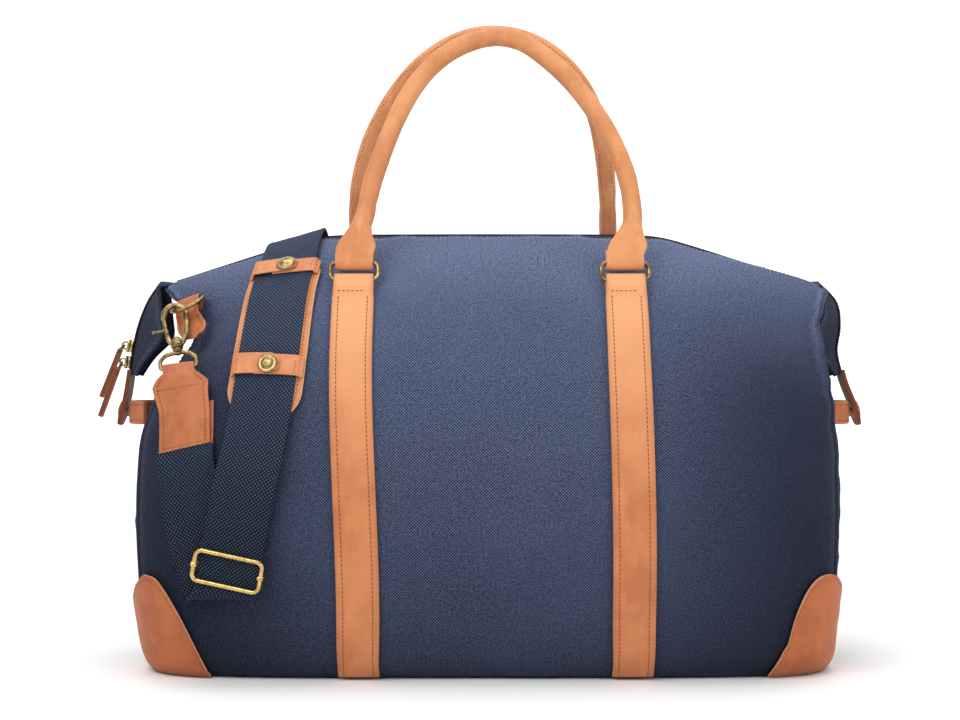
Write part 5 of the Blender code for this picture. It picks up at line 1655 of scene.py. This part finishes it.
def strap_end(eye, up, across, back):
    """Leather round the eye's bar, widening over the webbing: two layers with a pale edge."""
    points, halves, sides = [], [], []

    def half_at(point):
        below = (eye - point).dot(up)
        return NECK_HALF + (END_HALF - NECK_HALF) * min(max((below - 0.0060) / 0.0095, 0.0), 1.0)

    def add(point, side, half):
        points.append(point)
        sides.append(side)
        halves.append(half)

    for share in spaced(0.0, 1.0, 40):
        x, z, lift = smooth(STRAP_END_ROWS, share)
        middle, normal = laid(x, z, -1, lift)
        add(middle, (across - normal * across.dot(normal)).normalized(), END_HALF)
    bend = EYE_WIRE + CLEAR + TAB_LEATHER / 2
    start = points[-1]
    first = eye + up * -0.0110 - back * bend
    for share in spaced(0.0, 1.0, 20)[1:]:
        point = start.lerp(first, share)
        add(point, sides[39].lerp(across, ease(share)).normalized(), half_at(point))
    for share in spaced(0.0, 1.0, 14)[1:]:
        point = eye + up * (-0.0110 + 0.0110 * share) - back * bend
        add(point, across, half_at(point))
    front_count = len(points)
    for i in range(1, 21):
        turn = math.pi / 2 - math.pi * i / 20
        add(eye + up * (bend * math.cos(turn)) - back * (bend * math.sin(turn)), across, NECK_HALF)
    for along in (0.0035, 0.007, 0.010):
        add(eye - up * along + back * bend, across, NECK_HALF)
    for _ in range(3):
        for i in range(34, 64):
            points[i] = (points[i - 1] + points[i] * 2 + points[i + 1]) / 4
    places = stations(points, sides, halves, -back)
    name = "strap_end_leather_left"
    leather = ribbon(name, places, TAB_LEATHER, stitched_section(END_HALF, 0.0030), "shell",
                     [LEATHER_TAB, RAW_EDGE], ["strap_end_left"])
    shoulder = next(i for i, h in enumerate(halves) if h < END_HALF - 0.0005)
    rows = [seam_path(places, 0.0030 * k, TAB_LEATHER / 2, 3, front_count - 9, follow=True) for k in (-1, 1)]
    rows += [cross_seam(places[column], 0.0030, TAB_LEATHER) for column in (3, shoulder - 3)]
    thread = tan_stitches("strap_end_stitching_left", rows, "shell", STRAP_END_ROW)
    points, sides = [], []
    for share in spaced(0.0, 1.0, 30):
        x, z, lift = smooth(STRAP_END_ROWS, share)
        middle, normal = laid(x + 0.0006, z - 0.0010, -1, 0.0017)
        points.append(middle)
        sides.append((across - normal * across.dot(normal)).normalized())
    places = stations(points, sides, END_HALF + 0.0006, -back)
    under = ribbon("strap_end_under_left", places, 0.0018, [(k, 0.0) for k in spaced(-1.0, 1.0, 9)], "shell",
                   [LEATHER_TAB, RAW_EDGE], (), 0.0003)
    return [leather, thread, under]


def strap_hardware():
    foot, outward = laid(-0.2320, 0.2830, -1, 0.0)
    level = outward.cross(Z_AXIS).normalized()
    level = level if level.x > 0 else -level
    upslope = (Z_AXIS - outward * outward.z).normalized()
    bar_dir = level * math.cos(TAB_TILT) + upslope * math.sin(TAB_TILT)
    strip = (upslope - bar_dir * upslope.dot(bar_dir)).normalized()
    bar = foot + outward * (BEDDED + TAB_LEATHER + CLEAR + D_WIRE)
    made = ring_tab(foot, outward, strip, bar_dir, bar)
    hang = outward * math.sin(D_LIFT) - strip * math.cos(D_LIFT)
    wire = rod(d_outline(bar, bar_dir, hang), D_WIRE, True, 16)
    d_ring = brass("d_ring_wire_left", wire, "d_ring_left", ["d_ring_left"])
    touch = D_LEG + D_HALF * math.cos(D_CONTACT)
    contact = bar - bar_dir * (D_HALF * math.sin(D_CONTACT)) + hang * touch
    target, _ = laid(-0.2240, 0.2050, -1, 0.0150)
    up = (contact - target).normalized()
    eye = contact - up * HOOK_REACH
    across = (X_AXIS - up * up.x).normalized()
    back = up.cross(across)
    place = frame_matrix(eye, across, up)
    twisted = place @ Matrix.Rotation(HOOK_TWIST, 4, "Z")
    loop = rounded([place @ Vector((EYE_HALF * x, 0, z)) for x, z in EYE_OUTLINE], 90, cyclic=True)
    stem = turned_mesh(STEM_PROFILE[::-1], place)
    eye_mesh = together("eye", [rod(loop, EYE_WIRE, True, 16), stem])
    eye_piece = brass("hook_eye_left", eye_mesh, "shell", ["swivel_eye_left"])
    barrel = turned_mesh(BARREL_PROFILE[::-1], place)
    pivot_pin = rod([twisted @ Vector((-0.0070, y, 0.0333)) for y in spaced(-0.0026, 0.0026, 6)], 0.0009, sides=12)
    parts = [barrel, bar_mesh(twisted, HOOK_LINE, 0.0022, 80), bar_mesh(twisted, EAR_LINE, 0.0019), pivot_pin]
    hook = brass("hook_metal_left", together("hook", parts), "hook_left", ["hook_body_left"])
    knob = twisted @ Matrix.Translation((-0.0165, 0, 0.0352)) @ Matrix.Rotation(math.radians(-90), 4, "Y")
    tip = turned_mesh(KNOB_PROFILE, knob, 16)
    parts = [bar_mesh(twisted, GATE_LINE, 0.0016), bar_mesh(twisted, LEVER_LINE, 0.0010), tip]
    gate = brass("hook_lever_left", together("gate", parts), "gate_left", ["hook_gate_left"])
    return made + strap_end(eye, up, across, back) + [d_ring, eye_piece, hook, gate]


for piece in strap_hardware():
    other = [name.replace("left", "right") for name in piece.get("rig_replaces", [])]
    half_turned(piece, piece.name.replace("left", "right"), piece["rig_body"].replace("left", "right"), *other)


# ---------------------------------------------------------------- webbing
def run_frame():
    low, high = [laid(*p)[0] for p in STRAIGHT_RUN]
    up = (high - low).normalized()
    across = up.cross(outward_at(low)).normalized()
    across = across if across.x > 0 else -across
    outward = across.cross(up).normalized()
    return low, up, across, outward if outward.y < 0 else -outward


def webbing_stations():
    low, high = [laid(*p)[0] for p in STRAIGHT_RUN]
    straight = [low.lerp(high, share) for share in spaced(0.0, 1.0, 5)]
    before = [laid(*p)[0] for p in WEBBING_DOWN + WEBBING_FOLD]
    crest = on_bag(WEBBING_CREST[0], 0.0, WEBBING_CREST[1])[0]
    after = [laid(*p)[0] for p in WEBBING_UP] + [crest] + [laid(*p)[0] for p in WEBBING_REAR]
    return before + straight + after


POINTS = webbing_stations()
FOLD_AT = len(WEBBING_DOWN) + len(WEBBING_FOLD) / 2 - 0.5
FOLD_SPAN = 1.5
RUN_AT = len(WEBBING_DOWN) + len(WEBBING_FOLD)


def webbing_places(per_gap):
    """Middle, across and outward along the webbing from its left end over the bag to the right."""
    flat_across = run_frame()[2]
    made = []
    count = (len(POINTS) - 1) * per_gap
    for i in range(count + 1):
        share = i / count
        here = Vector(smooth(POINTS, share))
        run = Vector(smooth(POINTS, share + 0.004)) - Vector(smooth(POINTS, share - 0.004))
        normal = outward_at(here)
        wide = run.cross(normal).normalized()
        place = i / per_gap
        if abs(place - FOLD_AT) < FOLD_SPAN:
            turn = math.radians(-12 + 22 * (place - FOLD_AT + FOLD_SPAN) / (2 * FOLD_SPAN))
            wide = Vector((math.cos(turn), 0.0, -math.sin(turn)))
            wide = (wide - normal * wide.dot(normal)).normalized()
        if wide.x < 0 and here.y < 0.02:
            wide = -wide
        if RUN_AT <= place < RUN_AT + 5:
            wide = flat_across.lerp(wide, min(max((place - RUN_AT - 3) / 2, 0.0), 1.0)).normalized()
        made.append((here, wide, run.normalized()))
    for i in range(1, len(made)):
        here, wide, run = made[i]
        if wide.dot(made[i - 1][1]) < 0:
            made[i] = (here, -wide, run)
    for _ in range(per_gap // 2):
        turned_on = [(a[1] + b[1] * 2 + c[1]).normalized() for a, b, c in zip(made, made[1:], made[2:])]
        for i, wide in enumerate(turned_on, 1):
            made[i] = (made[i][0], wide, made[i][2])
    return made


def webbing_strip():
    rows = []
    columns = [-1.0, -0.99, -0.955, -0.91] + spaced(-0.86, 0.86, 17) + [0.91, 0.955, 0.99, 1.0]
    for i, (here, wide, run) in enumerate(webbing_places(14)):
        normal = wide.cross(run).normalized()
        if i == 0:
            normal_before = normal if normal.y < 0 else -normal
        normal = normal if normal.dot(normal_before) > 0 else -normal
        normal_before = normal
        row = []
        for k in columns:
            # a flat selvedge with a shallow groove inside it, and a faint cupping
            groove = 0.00030 * bell(abs(k), 0.905, 0.022)
            wave = 0.00035 * noise.noise(here * 25 + Vector((k * 2, 0, 0)))
            row.append(here + wide * (WEBBING_WIDTH / 2 * k) - normal * groove + normal * wave)
        rows.append(row)
    shown("shoulder_webbing", grid("shoulder_webbing", rows), "shell", "webbing", [WEBBING_LOOK], ["webbing"],
          0.0021, 0.0, 0.0)


webbing_strip()


def strand_frame(share):
    count = len(POINTS) - 1
    first = len(WEBBING_DOWN) + len(WEBBING_FOLD) + 5 - 1
    place = (first + share * 5) / count
    here = Vector(smooth(POINTS, place))
    run = (Vector(smooth(POINTS, place + 0.004)) - Vector(smooth(POINTS, place - 0.004))).normalized()
    across = run.cross(outward_at(here)).normalized()
    across = across if across.x > 0 else -across
    outward = across.cross(run).normalized()
    return here, run, across, outward if outward.dot(outward_at(here)) > 0 else -outward


SLIDER_WIRE = 0.00175
SLIDER_HALF_WIDE, SLIDER_HALF_TALL = 0.0252, 0.0113
COLLAR_PROFILE = [(0.0003, -0.0022), (0.0018, -0.0021), (0.0021, -0.0012), (0.0021, 0.0012), (0.0018, 0.0021)]
COLLAR_PROFILE += [(0.0003, 0.0023)]
SLIDER_BAR = [(-1.0, 0.0), (-0.985, 0.55), (-0.95, 1.0), (0.0, 1.0), (0.95, 1.0), (0.985, 0.55), (1.0, 0.0)]


def strap_adjuster():
    low, up, across, outward = run_frame()
    middle = low + up * SLIDER_UP + outward * (WEBBING / 2 + CLEAR + SLIDER_WIRE)
    outline = oblong(SLIDER_HALF_WIDE, SLIDER_HALF_TALL, 0.0048)
    frame_wire = rod([middle + across * px + up * pz for px, pz in outline], SLIDER_WIRE, True, 18)
    drop = WEBBING + 2 * CLEAR + SLIDER_WIRE + 0.0014
    line = [middle + across * (SLIDER_HALF_WIDE * x) - outward * (drop * deep) for x, deep in SLIDER_BAR]
    bar = rod(rounded(line, 60), 0.0013, sides=12)
    collars = []
    for end in (-1, 1):
        at = middle + across * (SLIDER_HALF_WIDE * end)
        collars.append(turned_mesh(COLLAR_PROFILE, frame_matrix(at, up, across * end), 18))
    shown("strap_adjuster", together("strap_adjuster", [frame_wire, bar, *collars]), "strap_slider",
          "bright_brass", [BRIGHT_BRASS], ["strap_slider"])


strap_adjuster()


# ---------------------------------------------------------------- shoulder pad and its bands
# the pad's two ends along the strand between the straight run and the crest
PAD_SPAN = (0.30, 1.03)
PAD_LENGTH, PAD_CORNER, PAD_SEAM = 0.119, 0.016, 0.0034
BAND_LEATHER, BAND_HALF, BAND_REACH = 0.0015, 0.0078, 0.0275
BANDS = {"upper": 0.965, "lower": 0.515}
OVER_GAP, UNDER_GAP = 0.0028, 0.0007


def pad():
    """The leather pad behind the webbing: filled between two sewn margins, with rounded ends."""
    first, last = PAD_SPAN
    places, from_ends = [], []
    for share in spaced(first, last, 110):
        here, _, across, outward = strand_frame(share)
        from_end = min(share - first, last - share) / (last - first) * PAD_LENGTH
        half = PAD_WIDTH / 2
        if from_end < PAD_CORNER:
            half += math.sqrt(PAD_CORNER**2 - (PAD_CORNER - from_end) ** 2) - PAD_CORNER
        middle = here - outward * (WEBBING / 2 + CLEAR + 0.0012)
        places.append((middle, across, outward, half))
        from_ends.append(from_end)
    upper, lower, wear_and_painted_light = [], [], []
    shares = [-1.0, -0.985, -0.955, -0.92, -0.885, -0.86, -0.82] + spaced(-0.74, 0.74, 13)
    shares += [0.82, 0.86, 0.885, 0.92, 0.955, 0.985, 1.0]
    for (m, a, o, h), from_end in zip(places, from_ends):
        high, low, shade = [], [], []
        for k in shares:
            from_edge = min(h * (1 - abs(k)), from_end)
            inside = ease((from_edge - 0.0030) / 0.0028)
            groove = bell(from_edge, PAD_SEAM, 0.0008)
            swollen = 0.00045 * inside - 0.00032 * groove + 0.00030 * ease(from_edge / 0.0012)
            swollen += 0.00022 * noise.noise(m * 60 + Vector((k * 3, 0, 0))) * inside
            high.append(m + a * (h * k) + o * (0.00078 + swollen))
            low.append(m + a * (h * k) - o * (0.00085 + 0.00055 * inside))
            shade.append(0.5 * bell(from_edge, 0.0, 0.0010))
        upper.append(high)
        lower.append(low)
        wear_and_painted_light.append(shade)
    rings = [high + low[::-1] for high, low in zip(upper, lower)]
    mesh = loft("pad_leather", rings, wear_and_painted_light=[shade + shade[::-1] for shade in wear_and_painted_light])
    piece = shown("pad_leather", mesh, "shell", "leather", [LEATHER_PAD], ["shoulder_pad"])
    edge = [m - a * h - o * 0.0001 for m, a, o, h in places]
    edge += [m + a * h - o * 0.0001 for m, a, o, h in places[::-1]]
    shown("pad_edge", rod(edge, 0.00085, True, 8), "shell", "leather", [RAW_EDGE])
    kept = [place for place, from_end in zip(places, from_ends) if from_end > PAD_SEAM]
    rows = [[(m + a * ((h - PAD_SEAM) * k) + o * 0.00085, o) for m, a, o, h in kept] for k in (-1, 1)]
    rows += [[rows[0][i], rows[1][i]] for i in (0, -1)]
    tan_stitches("pad_stitching", rows, "shell", PAD_ROW)


def band_places(share, reach_from, reach_to, over_gap, round_end):
    """A leather strip across the webbing, from the pad's margin up over it."""
    here, run, across, outward = strand_frame(share)
    top = WEBBING / 2 + over_gap + 0.0008
    low = 0.0008 - WEBBING / 2 - CLEAR + over_gap * 0.2
    side = math.copysign(1, reach_from)
    points, halves = [], []
    for x in spaced(reach_from, reach_to, 70):
        step = ease((abs(reach_from) - 0.0012 - x * side) / 0.0026)
        height = low + (top - low) * step
        half = BAND_HALF
        if round_end:
            short = max(BAND_HALF - abs(x - reach_to), 0.0)
            half = max(math.sqrt(BAND_HALF**2 - short**2), 0.0018)
        arch = 0.0012 * (1 - (x / BAND_REACH) ** 2)
        points.append(here + across * x + outward * height + run * arch)
        halves.append(half)
    return stations(points, run, halves, outward)


def band(band_name, share):
    here, _, across, outward = strand_frame(share)
    section = stitched_section(BAND_HALF, 0.0022)
    under = band_places(share, BAND_REACH, -0.0090, UNDER_GAP, False)
    ribbon("band_lower_layer_" + band_name, under, BAND_LEATHER, section, "shell", [LEATHER_PAD, RAW_EDGE],
           ["band_under_" + band_name], 0.0003)
    over = band_places(share, -BAND_REACH, 0.0100, OVER_GAP, True)
    body = "band_" + band_name
    ribbon("band_strip_" + band_name, over, BAND_LEATHER, section, body, [LEATHER_PAD, RAW_EDGE],
           ["band_over_" + band_name], 0.0003)
    for name, places, rides in (("band_stitching_", over, body), ("band_foot_stitching_", under, "shell")):
        row = cross_seam(places[10], 0.0016, BAND_LEATHER)
        tan_stitches(name + band_name, [row], rides, BAND_ROW)
    cap_lift = WEBBING / 2 + OVER_GAP + 0.0008 + BAND_LEATHER / 2 + CLEAR
    cap_at = here + across * 0.0020 + outward * cap_lift
    cap_place = frame_matrix(cap_at, across, outward)
    snap("band_snap_cap_" + band_name, SNAP_CAP, cap_place, body, ["band_snap_" + band_name])


pad()
for band_name, share in BANDS.items():
    band(band_name, share)


# ---------------------------------------------------------------- floor, lights and camera
FLOOR_NEAR, FLOOR_FAR, FLOOR_SIDE = -5.0, 4.2, 6.0
BACKDROP_CURVE, BACKDROP_TOP = 0.8, 6.0
GLOW_FROM, GLOW_FULL, GLOW = 0.9, 3.6, 0.55


def floor():
    """A pale floor that curves up into a backdrop."""
    line = [(FLOOR_NEAR, 0.0), (FLOOR_FAR, 0.0)]
    for i in range(1, 13):
        turn = math.pi / 2 * i / 12
        line.append((FLOOR_FAR + BACKDROP_CURVE * math.sin(turn), BACKDROP_CURVE * (1 - math.cos(turn))))
    line.append((FLOOR_FAR + BACKDROP_CURVE, BACKDROP_TOP))
    mesh = grid("floor", [[Vector((x, y, z)) for x in (-FLOOR_SIDE, 0.0, FLOOR_SIDE)] for y, z in line])
    obj = linked("floor", mesh)
    mat, tree, shader = new_look("pale_floor", 0.8, specular=0.1)
    shader.inputs["Base Color"].default_value = (0.96, 0.96, 0.965, 1)
    # far off it glows a little, so that it stays as pale as it is near the lights
    where = in_space(tree)
    away = node(tree, "VectorMath", {0: where}, operation="LENGTH").outputs["Value"]
    shader.inputs["Emission Color"].default_value = (1, 1, 1, 1)
    glow = math_node(tree, "MULTIPLY", ramp(tree, away, GLOW_FROM, GLOW_FULL), GLOW)
    tree.links.new(glow, shader.inputs["Emission Strength"])
    mesh.materials.append(mat)


def area_light(name, place, target, width, height, power):
    data = bpy.data.lights.new(name, "AREA")
    data.shape = "RECTANGLE"
    data.size, data.size_y = width, height
    data.energy = power
    obj = linked(name, data)
    obj.location = place
    obj.rotation_euler = (Vector(target) - Vector(place)).to_track_quat("-Z", "Y").to_euler()


floor()
area_light("key", (-0.9, -1.6, 1.8), (0, 0, 0.2), 1.6, 1.2, 26)
area_light("fill", (1.6, -1.4, 0.9), (0, 0, 0.2), 1.4, 1.4, 12)
area_light("top", (0.0, 0.2, 2.1), (0, 0, 0.1), 2.0, 1.4, 22)
world = bpy.data.worlds.new("studio")
world.use_nodes = True
world.node_tree.nodes["Background"].inputs[0].default_value = (1, 1, 1, 1)
world.node_tree.nodes["Background"].inputs[1].default_value = 0.55
bpy.context.scene.world = world
bpy.context.scene.view_settings.view_transform = "Standard"

camera_data = bpy.data.cameras.new("camera")
camera_data.lens = 62.8
camera_data.sensor_width = 36.0
camera = linked("camera", camera_data)
camera.location = (-0.0074, -1.36, 0.2406)
camera.rotation_euler = (math.radians(90), 0, 0)
bpy.context.scene.camera = camera
